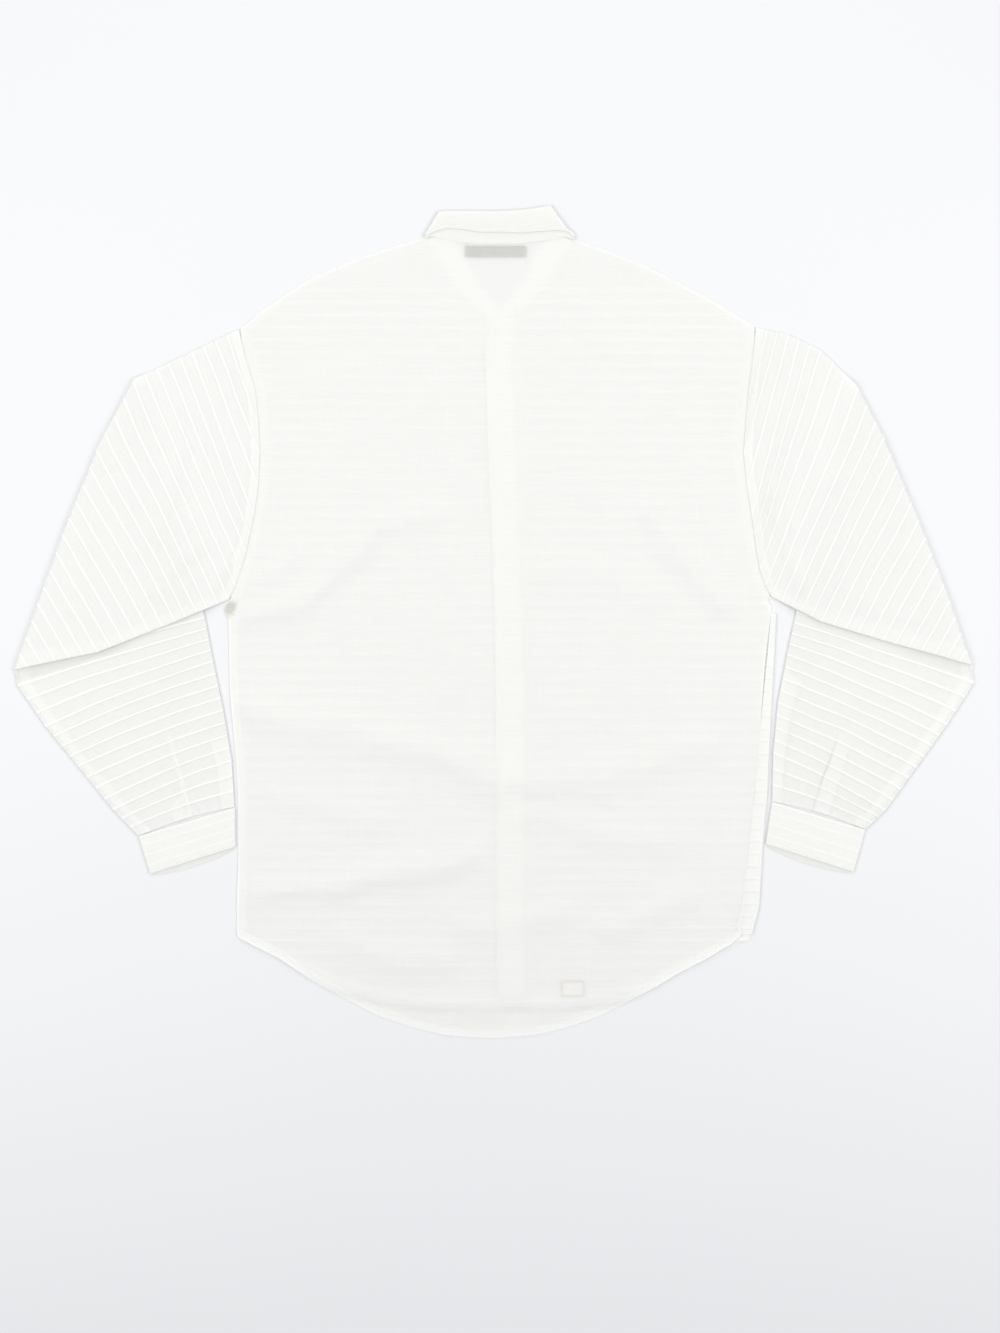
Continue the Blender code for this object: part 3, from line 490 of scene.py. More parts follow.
def principled(name, roughness, sheen=0.0, specular=0.5):
    """A new material, its node tree and its shader."""
    made = bpy.data.materials.new(name)
    made.use_nodes = True
    shader = made.node_tree.nodes["Principled BSDF"]
    shader.inputs["Roughness"].default_value = roughness
    shader.inputs["Sheen Weight"].default_value = sheen
    shader.inputs["Specular IOR Level"].default_value = specular
    return made, made.node_tree, shader


def attribute(tree, name, kind):
    """A value that travels with the shell."""
    node = tree.nodes.new("ShaderNodeAttribute")
    node.attribute_name = name
    return node.outputs[kind]


def woven(name, thin, thick, cover, thread=0.5, slub=1.0, bump=0.05):
    """Plain-woven cloth: its colours in one layer and in several, and how far each of them hides.

    thread is the pitch of its threads and slub how uneven its yarns are.
    """
    made, tree, shader = principled(name, 0.9, sheen=0.08, specular=0.15)
    vector, dense, shade = (attribute(tree, value, kind) for value, kind in
                            (("cut", "Vector"), ("dense", "Fac"), ("shade", "Fac")))

    def add(first, second):
        return calc(tree, "ADD", first, second)

    def times(first, second):
        return calc(tree, "MULTIPLY", first, second)

    weft = stretched_noise(tree, vector, (0.03, 1.1))
    warp = stretched_noise(tree, vector, (0.9, 0.02))
    cloud = stretched_noise(tree, vector, (0.025, 0.03))
    streak = add(add(weft, -0.5), times(add(warp, -0.5), 0.35))
    tone = add(add(times(streak, 0.0092 * slub), times(add(cloud, -0.5), 0.0074)), 0.995)
    # Painted shade: the colour turns towards SHADED as far as the shell's shade value goes
    colour = mix(tree, shade, mix(tree, dense, thin, thick), SHADED)
    scaled = tree.nodes.new("ShaderNodeVectorMath")
    scaled.operation = "SCALE"
    link(tree, colour, scaled.inputs[0])
    link(tree, tone, scaled.inputs["Scale"])
    link(tree, scaled.outputs["Vector"], shader.inputs["Base Color"])
    hidden = add(add(times(dense, cover[1] - cover[0]), cover[0]), times(streak, 0.033 * slub))
    clamped = calc(tree, "MINIMUM", calc(tree, "MAXIMUM", hidden, 0.02), 1.0)
    link(tree, clamped, shader.inputs["Alpha"])
    weave = add(threads(tree, vector, "X", thread), threads(tree, vector, "Y", thread))
    height = add(weave, times(streak, 1.64 * slub))
    bumped = tree.nodes.new("ShaderNodeBump")
    bumped.inputs["Distance"].default_value = bump * MM
    bumped.inputs["Strength"].default_value = 0.8
    link(tree, height, bumped.inputs["Height"])
    link(tree, bumped.outputs["Normal"], shader.inputs["Normal"])
    return made


def mottled(name, roughness, scale, low, high, sheen=0.0, specular=0.5):
    """A plain finish whose colour wanders a little between two tones."""
    made, tree, shader = principled(name, roughness, sheen, specular)
    where = tree.nodes.new("ShaderNodeTexCoord").outputs["Object"]
    cloud = stretched_noise(tree, where, scale, 3.0)
    link(tree, mix(tree, cloud, low, high), shader.inputs["Base Color"])
    return made


COTTON = woven("cotton_plain", SHEER, DENSE, (0.40, 0.54))
TUCKED = woven("cotton_tucked", SHEER, DENSE, (0.42, 0.60), slub=1.2)
BANDED = woven("cotton_band", SHEER, DENSE, (0.45, 0.60), slub=0.8)
COLLAR = woven("cotton_collar", BAND_WHITE, BAND_WHITE, (0.50, 0.60), slub=0.8)
STRIP = woven("cotton_strip", SHEER, DENSE, (0.50, 0.57), slub=0.8)
LABEL = woven("label_grey", LABEL_GREY, LABEL_PALE, (0.97, 1.0), thread=0.7, slub=0.5)
TAG = woven("tag_satin", TAG_EDGE_SHADE, TAG_FACE, (0.85, 0.85), thread=0.4, slub=0.5)
BUTTON = mottled("button_shell", 0.3, (400.0, 900.0), (0.74, 0.71, 0.64), (0.86, 0.84, 0.79))
THREAD_WHITE = mottled("thread_white", 0.7, (900.0, 900.0), (0.80, 0.80, 0.77), (0.90, 0.90, 0.87), 0.1, 0.25)
FLOOR_PAINT = mottled("floor_paint", 0.85, (2.2, 2.2), FLOOR_COLOUR, tuple(c * 1.012 for c in FLOOR_COLOUR),
                      specular=0.1)


FRONTS = ["front_left_cloth", "front_right_cloth"]


# Body


def tuck_rows(lines, low, high, step=3.4):
    """Places along the cloth and the rise at each: every tuck's profile, and plain rows between them."""
    lines = sorted(lines)
    rows = []
    for line in lines:
        rows += [(line + offset, rise) for offset, rise in TUCK_PROFILE]
    for first, second in zip(lines, lines[1:]):
        rows += [(first + (second - first) * share, 0.0) for share in BETWEEN_TUCKS]
    before = np.arange(lines[0] - TUCK_PROFILE[-1][0] - step, low, -step)
    after = np.arange(lines[-1] + TUCK_PROFILE[-1][0] + step, high, step)
    rows += [(place, 0.0) for place in (low, high, *before, *after)]
    return np.array(sorted(rows)).T


def relief(x, y, seed, coarse=0.22, fine=0.09):
    """The small unevenness of cloth that was smoothed out by hand, never below zero."""
    wide = noise(x, y, 48, seed) + 0.5 * noise(x, y, 95, seed + 1)
    narrow = noise(x, y, 13, seed + 2) + noise(x, y, 21, seed + 3)
    return np.maximum(coarse * (1.5 + wide) + fine * (2.0 + narrow), 0.0)


def panel_columns(count):
    """Shares across a panel, closer together at both ends."""
    share = np.linspace(0, 1, count)
    return share - 0.35 * np.sin(2 * np.pi * share) / (2 * np.pi)


def front(side, seed):
    """A tucked front. The right one's side is turned up and shows as a strip beside the back."""
    node = f"front_{side}"
    left, right = reach((node,), 1)
    lowest, highest = (corner.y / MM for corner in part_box(node))
    lines = [FRONT_TUCK_TOP - n * TUCK_PITCH for n in range(FRONT_TUCKS)]
    y, rise = (row[:, None] for row in tuck_rows(lines, lowest + 0.1, highest - 0.1))
    share = panel_columns(52)
    turned = side == "right"
    upturn = turned & (y > TURNED[0]) & (y < TURNED[1])
    fold = TURN_RADIUS + CLOTH
    inner, outer = (left(y), right(y) - fold * upturn) if turned else (right(y), left(y))
    x = inner + (outer - inner) * share
    rows = np.broadcast_to(y, x.shape)
    wave = 0.7 * noise(x, rows, 60, seed)
    from_edge = np.minimum(np.abs(x - inner), np.abs(x - outer))
    tuck = rise * (0.85 + 0.3 * noise(x, rows, 37, seed + 5)) * ease(from_edge / 4.0)
    hem = reach((node,), 0)[0]
    in_hem = 1 - ease((rows - hem(x) - HEM_BAND) / 1.0)
    in_seam = 1 - ease((np.abs(x - outer) - SEAM_ALLOWANCE) / 1.2)
    dense = np.maximum((rise > 0.2) * 1.0, np.maximum(in_hem, 0.7 * in_seam))
    puff = relief(x, rows, seed + 7) * ease(from_edge / 12.0)
    z = FRONT_TOP + tuck + puff + 0.2 * in_hem * ease(from_edge / 3.0)
    shell = Shell()
    wave *= ease(from_edge / 10.0) * (in_hem < 0.5)
    panel = shell.grid(x, rows + wave, z, dense, flip=not turned)
    if turned:
        bent = np.flatnonzero(upturn)
        turn_up(shell, panel[bent, -1:], y[bent], rise[bent], outer[bent], z[bent, -1:])
    hem_x = np.linspace(x.min() + 12, x.max() - 12, 120)
    hem_row = row_of(hem_x, hem(hem_x) + HEM_ROW)
    hem_row = hem_row[hem_row[:, 1] < HEM_CORNER]
    return place(shell.mesh(node), TUCKED, "tucked_cotton", sewn=[hem_row])


def turn_up(shell, fold_points, y, rise, fold_x, fold_z):
    """The strip that is folded up over the side, from the panel's last column round and inwards."""
    angles = np.linspace(0, math.pi, 7)[1:]
    arc_x = fold_x + TURN_RADIUS * np.sin(angles)
    arc_z = fold_z + TURN_RADIUS * (1 - np.cos(angles))
    ends = np.interp(y, *np.array(TURNED_WIDTH, float).T)
    inward = np.linspace(0, 1, 9)[1:]
    x = fold_x - (ends - 0.2) * inward
    ticks = rise * (y < TURNED_TUCKS_FROM)
    z = arc_z[:, -1:] + ticks * ease(inward * 6) * 0.5 + 0.25 * noise(x, y, 30, 5) * inward
    all_x, all_z = np.hstack([arc_x, x]), np.hstack([arc_z, z])
    run = fold_x + np.arange(all_x.shape[1])
    strip = shell.grid(all_x, y, all_z, 0.25 + 0.15 * (ticks > 0.2), cut=(run, y), quads=False)
    shell.join(np.hstack([fold_points, strip]))


def back():
    """The plain back, over the fronts, with the sewn hem, its creases and the print of the tucks under it."""
    seam_left, seam_right = reach(("back",), 1)
    hem, shoulder = reach(("back",), 0)
    front_hem = reach(("front_left", "front_right", "placket"), 0)[0]
    placket = reach(("placket",), 1)
    share = panel_columns(150)

    def flange(y, pocket):
        inside_sleeve = FLANGE * ease((y - ARMHOLE[0]) / 8) * ease((ARMHOLE[1] - y) / 8)
        return np.maximum(inside_sleeve, pocket[4] * np.exp(-((y - pocket[1]) / 7) ** 4))

    def left(y):
        return seam_left(y) - flange(y, UNDERARM[0])

    def right(y):
        return seam_right(y) + flange(y, UNDERARM[1])

    def across(y):
        return left(y) + (right(y) - left(y)) * share

    def edge(y, heights):
        x = across(y)
        return x, heights(np.clip(x, left(y) + 1.2, right(y) - 1.2))

    top_x, top_y = edge(CORNERS[1], shoulder)
    low_x, low_y = edge(CORNERS[0], hem)
    above = np.linspace(0, 1, 34)[:-1, None]
    square = np.arange(SQUARE[1], SQUARE[0], -TUCK_PITCH / 4)[:, None]
    below = np.linspace(0, 1, 36)[:, None]
    x = np.vstack([top_x + (across(SQUARE[1]) - top_x) * above, across(square),
                   across(SQUARE[0]) + (low_x - across(SQUARE[0])) * below])
    y = np.vstack([top_y + (SQUARE[1] - top_y) * above, np.broadcast_to(square, (square.size, share.size)),
                   SQUARE[0] + (low_y - SQUARE[0]) * below])

    held_y = np.clip(y, *CORNERS)
    side = np.maximum(np.minimum(x - seam_left(held_y), seam_right(held_y) - x), 0.0)
    seam_side = np.where(y > TURNED[1] + 8, side, np.where(x < 0, side, 99.0))
    from_top = np.where(np.abs(x - NECK_MIDDLE) > NECK_HALF, (top_y - y) * 0.9, 99.0)
    seam = np.minimum(seam_side, np.maximum(from_top, 0.0))
    level = SEAM_LOW + (BACK_LOW - SEAM_LOW) * ease(seam / SEAM_REACH)
    inside = ease((x - placket[0](y) + 5) / 5) * ease((placket[1](y) + 9 - x) / 9) * ease((352 - y) / 14)
    level += OVER_STAND * inside
    free = ease(seam / 26.0)
    level += creases(x, y, BACK_CREASES, 31) * (0.25 + 0.75 * free)
    level += relief(x, y, 41, 0.16, 0.05) * free
    phase = (y - FRONT_TUCK_TOP) / TUCK_PITCH
    prints = np.exp(-((phase - np.round(phase)) * TUCK_PITCH / PRINT_WIDTH) ** 2)
    prints *= (y < FRONT_TUCK_TOP + 4) & (y > front_hem(x) + 6) & (seam > 9)
    strength = np.clip(0.65 + 0.6 * noise(x, y, 70, 51) + 0.3 * noise(x, y * 4, 60, 52), 0.1, 1.3)
    prints = prints * strength * (1 - 0.75 * inside)
    level += PRINT_RISE * prints
    drop = ease((front_hem(x) - 2.5 - y) / 10.0)
    ripple = 0.7 * np.maximum(noise(x, y, 26, 61), 0) * drop
    level = np.maximum(level * (1 - drop), FLOOR_GAP) + ripple
    from_hem = y - low_y
    in_hem = 1 - ease((from_hem - HEM_BAND) / 1.0)
    in_seam = 1 - ease((seam - SEAM_ALLOWANCE) / 1.2)
    dense = np.maximum(0.7 * in_hem, in_seam * np.where(y < 20, 0.35, 0.1))
    dense = np.maximum(dense, PRINT_DENSE * prints)
    shade = np.maximum(back_shade(x, y), TAIL_SHADE * drop * (1 - in_hem))
    shell = Shell()
    shell.grid(x, y, level + CLOTH + 0.3 * in_hem, dense, flip=True, shade=shade)
    hem_x = np.linspace(low_x[0] + 3, low_x[-1] - 3, 160)
    hem_row = row_of(hem_x, hem(hem_x) + HEM_ROW)
    return place(shell.mesh("back"), COTTON, "cotton", rests_on=FRONTS, sewn=[hem_row])


def back_shade(x, y):
    """The back is shaded in the underarm pockets, in the V of the neck and over the label."""
    shade = np.zeros_like(x)
    for pocket_x, pocket_y, size, depth, _ in UNDERARM:
        taper = np.clip(1 + 0.06 * (y - pocket_y), 0.3, 1.6)
        away = ((x - pocket_x) / size / taper) ** 2 + ((y - pocket_y) / (size + 1)) ** 2
        shade = np.maximum(shade, depth * np.exp(-away ** 2))
    neck_left, neck_right = reach(("collar_front_left",), 1)[1], reach(("collar_front_right",), 1)[0]
    in_neck = ease((x - neck_left(y)) / 4) * ease((neck_right(y) - x) / 4) * (y > NECK_FOOT)
    low, high = (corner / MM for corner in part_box("neck_label"))
    on_label = ease((x - low.x + 1) / 2) * ease((high.x + 1 - x) / 2) * ease((y - low.y + 1) / 2)
    return np.maximum(shade, np.maximum(NECK_SHADE * in_neck, LABEL_SHADE * on_label * (y < high.y + 2)))


def band(node, top, count, seed, material, thickness=BAND, slot="band_cotton", dense=1.0, step=3.0,
         rests_on=("floor",)):
    """A flat folded band on its solid's outline, rounded at its edges, with its stitched lines pressed in."""
    left, right = reach((node,), 1)
    lowest, highest = (corner.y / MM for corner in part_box(node))
    y = np.linspace(lowest + 0.1, highest - 0.1, max(int((highest - lowest) / step), 4))[:, None]
    x = left(y) + (right(y) - left(y)) * panel_columns(count)
    from_edge = np.minimum(x - left(y), right(y) - x)
    line = np.exp(-((from_edge - EDGE_ROW) / 0.7) ** 2)
    z = top - 0.2 * (1 - ease(from_edge / 1.2)) - 0.1 * line
    z = z - 0.07 + 0.06 * noise(x, y, 17, seed) * ease(from_edge / 3)
    shell = Shell()
    shell.grid(x, y, z, dense(x, y) if callable(dense) else dense)
    at = y[1:-1]
    rows = [row_of(left(at) + EDGE_ROW, at), row_of(right(at) - EDGE_ROW, at)]
    sewn = rows if slot == "band_cotton" else ()
    return place(shell.mesh(node), material, slot, thickness, rests_on=rests_on, sewn=sewn)


def label_weave(x, y):
    """Paler flecks of the neck label, which is darker along its upper edge."""
    return (0.5 + 0.6 * noise(x, y / 8, 2.4, 307)) * (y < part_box("neck_label")[1].y / MM - 1.5)


def tag_shaded_edges(x, y):
    """The small tag is darker round its edges: painted shade along its outline."""
    low, high = (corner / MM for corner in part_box("care_label"))
    from_side, from_end = np.minimum(x - low.x, high.x - x), np.minimum(y - low.y, high.y - y)
    return ease(np.minimum(from_side, from_end) / 2.5 - 0.2)


def collar_stand():
    """The stand rises from the back's neck edge and goes under the fall, to a point at each end."""
    shoulder, fall = reach(("back",), 0)[1], reach(("collar_fall",), 0)[0]
    x = np.linspace(*STAND_ENDS, 90)[:, None]
    low = np.minimum(shoulder(x), fall(x) + 2.0)
    high = fall(x) + 4.5
    share = panel_columns(10)
    y = low + (high - low) * share
    z = STAND_TOP - 0.1 * (1 - ease(share * 8)) + 0.06 * noise(x, y, 17, 303)
    shell = Shell()
    shell.grid(x, y, z, 1.0, flip=True)
    foot_row = row_of(x[6:-6], low[6:-6] + 1.6)
    return place(shell.mesh("collar_stand"), COLLAR, thickness=BAND, rests_on=FRONTS, sewn=[foot_row])


def collar_fall():
    """The collar's turned-down part: a free lower edge, a soft face, and a rolled fold over the stand."""
    low, high = reach(("collar_fall",), 0)
    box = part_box("collar_fall")
    x = np.linspace(box[0].x / MM + 0.4, box[1].x / MM - 0.4, 84)[:, None]
    bottom, top = low(x), high(x)
    height = top - bottom
    angles = np.linspace(0, math.pi, 9)[1:]
    face = np.linspace(0, 1, 14)
    from_fold = height * (1 - face)
    roll = np.minimum(FALL_ROLL, height * 0.3)
    y_face = bottom + (height - roll) * face
    swell = 0.5 * np.sin(np.pi * face) * ease(height / 20) + 0.2 * noise(x, y_face, 24, 71)
    line = np.exp(-((from_fold - height + 3.0) / 0.7) ** 2)
    edge_soft = 0.3 * (1 - ease((1 - from_fold / height) * height / 1.5))
    z_face = FALL_LEVEL + 1.0 + swell - edge_soft - 0.18 * line
    y_roll = top - roll + roll * np.sin(angles)
    z_roll = z_face[:, -1:] - roll * (1 - np.cos(angles))
    shell = Shell()
    shell.grid(x, np.hstack([y_face, y_roll]), np.hstack([z_face, z_roll]), 1.0, flip=True)
    edge_row = row_of(x[8:-8], bottom[8:-8] + 3.0)
    return place(shell.mesh("collar_fall"), COLLAR, thickness=FOLDED_BAND, held="folded",
                 rests_on=["collar_stand_cloth"], sewn=[edge_row])


# Sleeves


class Fold:
    """The elbow fold: a flat sleeve in (along, past) coordinates and as it lies folded."""

    def __init__(self, spec):
        a, b = (np.array(p, float) for p in spec["fold"])
        self.along = (b - a) / np.hypot(*(b - a))
        self.out = np.array((self.along[1], -self.along[0]))
        self.start = a - self.out * BEND_REACH
        self.bow_rows = np.array(spec["bow"], float).T
        edge = np.array(spec["forearm_inner"][0][1:], float) - a
        self.edge_start = a
        self.aside = np.array((-edge[1], edge[0])) / np.hypot(*edge)

    def bow(self, along):
        """How far the folded edge bows out at that place along it."""
        return np.interp(along, *self.bow_rows)

    def flat(self, point, forearm):
        """A point as it lies, in the flat sleeve's coordinates."""
        offset = np.array(point, float) - self.start
        along, past = offset @ self.along, offset @ self.out
        past -= self.bow(along) * math.exp(-(past / BOW_FADE) ** 2)
        return (along, BEND_LENGTH - past if forearm else past)

    def laid(self, along, past, height):
        """Points of the flat sleeve, folded: x, y and z."""
        angle = np.clip(past / BEND_MEAN, 0.0, math.pi)
        radius = BEND_INNER + height
        upper, lower = past <= 0, angle >= math.pi
        out = np.where(upper, past, np.where(lower, BEND_LENGTH - past, radius * np.sin(angle)))
        bent = LIFT - BEND_INNER + radius * np.cos(angle)
        z = np.where(upper, LIFT + height, np.where(lower, TUBE - height, bent))
        plan = self.start + along[..., None] * self.along + out[..., None] * self.out
        clear = (plan - self.edge_start) @ self.aside
        z = z - upper * LIFT * ease((clear - STEP_DOWN[0]) / (STEP_DOWN[1] - STEP_DOWN[0]))
        plan = plan + (self.bow(along) * np.exp(-(out / BOW_FADE) ** 2))[..., None] * self.out
        return plan[..., 0], plan[..., 1], z


def chain(rows):
    """Place in the flat sleeve as a function of the tuck number."""
    keys = np.array([k for k, p in rows], float)
    places = np.array([p for k, p in rows], float)
    order = np.argsort(keys)
    return lambda k: np.stack([np.interp(k, keys[order], places[order, i]) for i in (0, 1)], -1)


def sleeve_columns():
    """Shares across the sleeve, closer together at its ends, its vent and its pleat."""
    coarse = np.linspace(0, 1, 38)
    fine = np.linspace(*PLEATED, 22)
    ends_and_vent = np.array((0.006, 0.014, 0.03, 0.103, 0.109, 0.115, 0.126, 0.97, 0.986, 0.994))
    kept = [c for c in coarse if not PLEATED[0] < c < PLEATED[1]]
    return np.array(sorted({*np.round(kept, 4), *np.round(fine, 4), *ends_and_vent}))


def sleeve(side, spec):
    """A flattened tube of tucked cloth, folded under at the elbow."""
    fold = Fold(spec)
    tops = [(k, fold.flat((x, y), False)) for k, x, y in spec["top"]]
    tops += [(k, fold.flat((x, y), True)) for k, x, y in spec["forearm_inner"]]
    lows = [(k, fold.flat((x, y), False)) for k, x, y in spec["armhole"] + spec["underarm"]]
    lows += [(k, fold.flat((x, y), True)) for k, x, y in spec["forearm_outer"]]
    top_at, low_at = chain(tops), chain(lows)
    lines = [n * TUCK_PITCH for n in range(1, SLEEVE_TUCKS)]
    key_rows, rise = (row[:, None] for row in tuck_rows(lines, 0.0, SLEEVE_TUCKS * TUCK_PITCH))
    k = key_rows / TUCK_PITCH
    u = sleeve_columns()
    start, stop = top_at(k), low_at(k)
    flat = start + (stop - start) * u[:, None]
    length = np.hypot(*np.moveaxis(stop - start, -1, 0))
    middle = np.sin(np.pi * u)
    seed = spec["seed"]
    bow = FOREARM_BOW * ease((k - ELBOW_ROW) / 3) * middle
    bow = bow - spec["cap"] * np.clip(1 - k, 0, 1) * middle
    wobble = 1.6 * noise(u * 4, k / 2.6, 1.0, seed) * middle
    along = flat[..., 0] - bow + wobble * ease((SLEEVE_TUCKS - k) / 3) * ease(k / 2)
    past = flat[..., 1]

    cap = [(along[0, i], past[0, i]) for i in range(0, u.size, 6)]
    hole = [*cap, *(low_at(float(n)) for n in np.arange(0, SEAM_ROW + 0.01, 0.5))]
    from_hole = edge_distance(along, past, hole)
    from_low = (1 - u) * length
    from_top = u * length
    from_cuff = np.broadcast_to((SLEEVE_TUCKS - k) * TUCK_PITCH, along.shape)
    forearm = k > ELBOW_ROW
    allowance = (1 - ease((from_low - 12.0) / 1.4)) * np.where(forearm, ease((from_low - 3.6) / 1.2), 0.5)
    in_seam = np.maximum(1 - ease((from_hole - 8.2) / 1.0), (k >= SEAM_ROW - 0.5) * allowance)
    ticks = forearm * (1 - ease((from_low - 4.0) / 1.0)) * (rise > 0.1)
    fade = ease(from_hole / 5) * ease(from_low / 2.5 + (k < SEAM_ROW))
    steady = 0.85 + 0.35 * noise(along, past, 33, seed + 1)
    tuck = np.minimum(rise * steady, 0.4) * ease(from_hole / 5) * ease(from_cuff / 3)
    tuck *= (1 - 0.8 * np.exp(-((past - BEND_LENGTH / 2) / 7) ** 2)) * np.where(forearm, 1.0, 0.8)
    side_sign = 1 - 2 * ease(past / BEND_LENGTH)
    puff = relief(along, past, seed + 2, 0.14, 0.06) * fade * ease(from_top / 10) * ease(from_cuff / 10)
    uneven = 3 * noise(u * 9, k, 1.0, seed + 4)
    gather = 0.45 * np.exp(-from_cuff / 26) * np.sin(u * 58 + uneven)

    pleat_k, pleat_edge, pleat_far = np.array(spec["pleat"], float).T
    edge, far = (np.interp(k, pleat_k, v) for v in (pleat_edge, pleat_far))
    growth = ease((k - pleat_k[0]) / 3.5)
    wedge = growth * ease((u - edge) / 0.012) * ease((far + 0.02 - u) / 0.03)
    vent_k, vent_u = spec["vent"]
    vent = ease((k - vent_k) / 1.0) * (1 - ease((u - vent_u) / 0.02))
    pleat_line = growth * np.exp(-((u - edge) / 0.008) ** 2)
    vent_line = ease((k - vent_k) / 2.0) * np.exp(-((u - vent_u) / 0.007) ** 2)
    pleat_bright, pleat_edge_shadow, vent_edge_shade = spec["line_tones"]

    across_from, rows_to, depth = spec["in_fold"]
    shade = depth * ease((ELBOW_ROW + rows_to - k) / 0.1) * forearm * ease((u - across_from) / 0.2)
    # Painted shade on the forearm: shadow lines at the pleat's and the vent's edges, and a faint shade all
    # over
    for tone in (pleat_edge_shadow * pleat_line, vent_edge_shade * vent_line, FOREARM_SHADE * forearm):
        shade = np.maximum(shade, tone)
    shell = Shell()
    flip = spec["mirror"] < 0
    dense_rows = (rise > 0.2) * np.where(forearm, 1.0, 0.65)
    cut_x = np.broadcast_to(from_top, along.shape)
    cut_y = np.broadcast_to(key_rows, along.shape)
    numbers, heights = {}, {}
    for on_top in (True, False):
        seam_drop = 0.75 * (1 - ease(from_hole / 8)) if on_top else 0.0
        height = (TUBE if on_top else 0.0) + tuck * side_sign - seam_drop
        height = height + 0.12 * in_seam * side_sign
        height = height + (puff * 0.8 + gather * fade) * (side_sign if on_top else np.minimum(side_sign, 0))
        if not on_top:
            height = height - 0.8 * wedge * ease((past - BEND_LENGTH) / 4)
        dense = np.maximum(dense_rows, np.where(forearm, 0.45, 0.4) * in_seam)
        tones = (0.3 * vent,) if on_top else (0.4 * wedge, 0.4 * vent, ticks, pleat_bright * pleat_line)
        for tone in tones:
            dense = np.maximum(dense, tone)
        cut = (cut_x, cut_y + 900 * on_top)
        numbers[on_top] = shell.grid(along, past, height, dense, cut, on_top != flip,
                                     shade=0.0 if on_top else shade)
        heights[on_top] = height
    turns = np.array((0.25, 0.5, 0.75))
    push = ROUND_OUT * np.sin(np.pi * turns)
    ends = ((0, k >= 0, start - stop, 0.0), (-1, k >= SEAM_ROW, stop - start, 0.2))
    for column, rows, outward, dense in ends:
        side_of = (np.flatnonzero(rows)[:, None], column)
        direction = outward / np.hypot(*np.moveaxis(outward, -1, 0))[..., None]
        x, y = (part[side_of] + direction[side_of[0], 0, i] * push for i, part in enumerate((along, past)))
        high, low = heights[True][side_of], heights[False][side_of]
        z = high + (low - high) * (1 - np.cos(np.pi * turns)) / 2
        cut = (cut_x[side_of] + turns * 3, cut_y[side_of] + turns * 0)
        turned = shell.grid(x, y, z, dense, cut, quads=False)
        joined = np.hstack([numbers[True][side_of], turned, numbers[False][side_of]])
        shell.join(joined, flip=(column == 0) == flip)
    mesh = shell.mesh(f"sleeve_{side}")
    bend_over(mesh, fold, spec)
    return place(mesh, TUCKED, "tucked_cotton", held="folded")


def bend_over(mesh, fold, spec):
    """Adds the edges that the bend needs, then folds the flat sleeve and lays its creases."""
    bm = bmesh.new()
    bm.from_mesh(mesh)
    for i in range(BEND_STEPS + 1):
        plane = Vector((0, BEND_LENGTH * i / BEND_STEPS * MM, 0))
        near = [f for f in bm.faces if min(v.co.y for v in f.verts) < plane.y < max(v.co.y for v in f.verts)]
        edges = {e for f in near for e in f.edges}
        corners = {v for f in near for v in f.verts}
        cut = [*near, *edges, *corners]
        bmesh.ops.bisect_plane(bm, geom=cut, dist=1e-7, plane_co=plane, plane_no=(0, 1, 0))
    bm.to_mesh(mesh)
    bm.free()
    co = np.zeros(len(mesh.vertices) * 3)
    mesh.vertices.foreach_get("co", co)
    along, past, height = co.reshape(-1, 3).T / MM
    x, y, z = fold.laid(along, past, height)
    rise = creases(x, y, spec["creases"], spec["seed"] + 6)
    on_upper = (past <= 0) & (height > TUBE / 2)
    on_forearm = (past >= BEND_LENGTH) & (height < TUBE / 2)
    waves = relief(x, y, spec["seed"] + 9, 0.16, 0.0)
    z = z + np.where(on_upper, rise, 0.0) * ease(-past / 30) + np.where(on_forearm, waves - 0.16, 0.0)
    z = np.maximum(z, FLOOR_GAP)
    if spec["mirror"] < 0:
        x = -x
    mesh.vertices.foreach_set("co", (np.stack([x, y, z], -1) * MM).ravel())
    mesh.update()


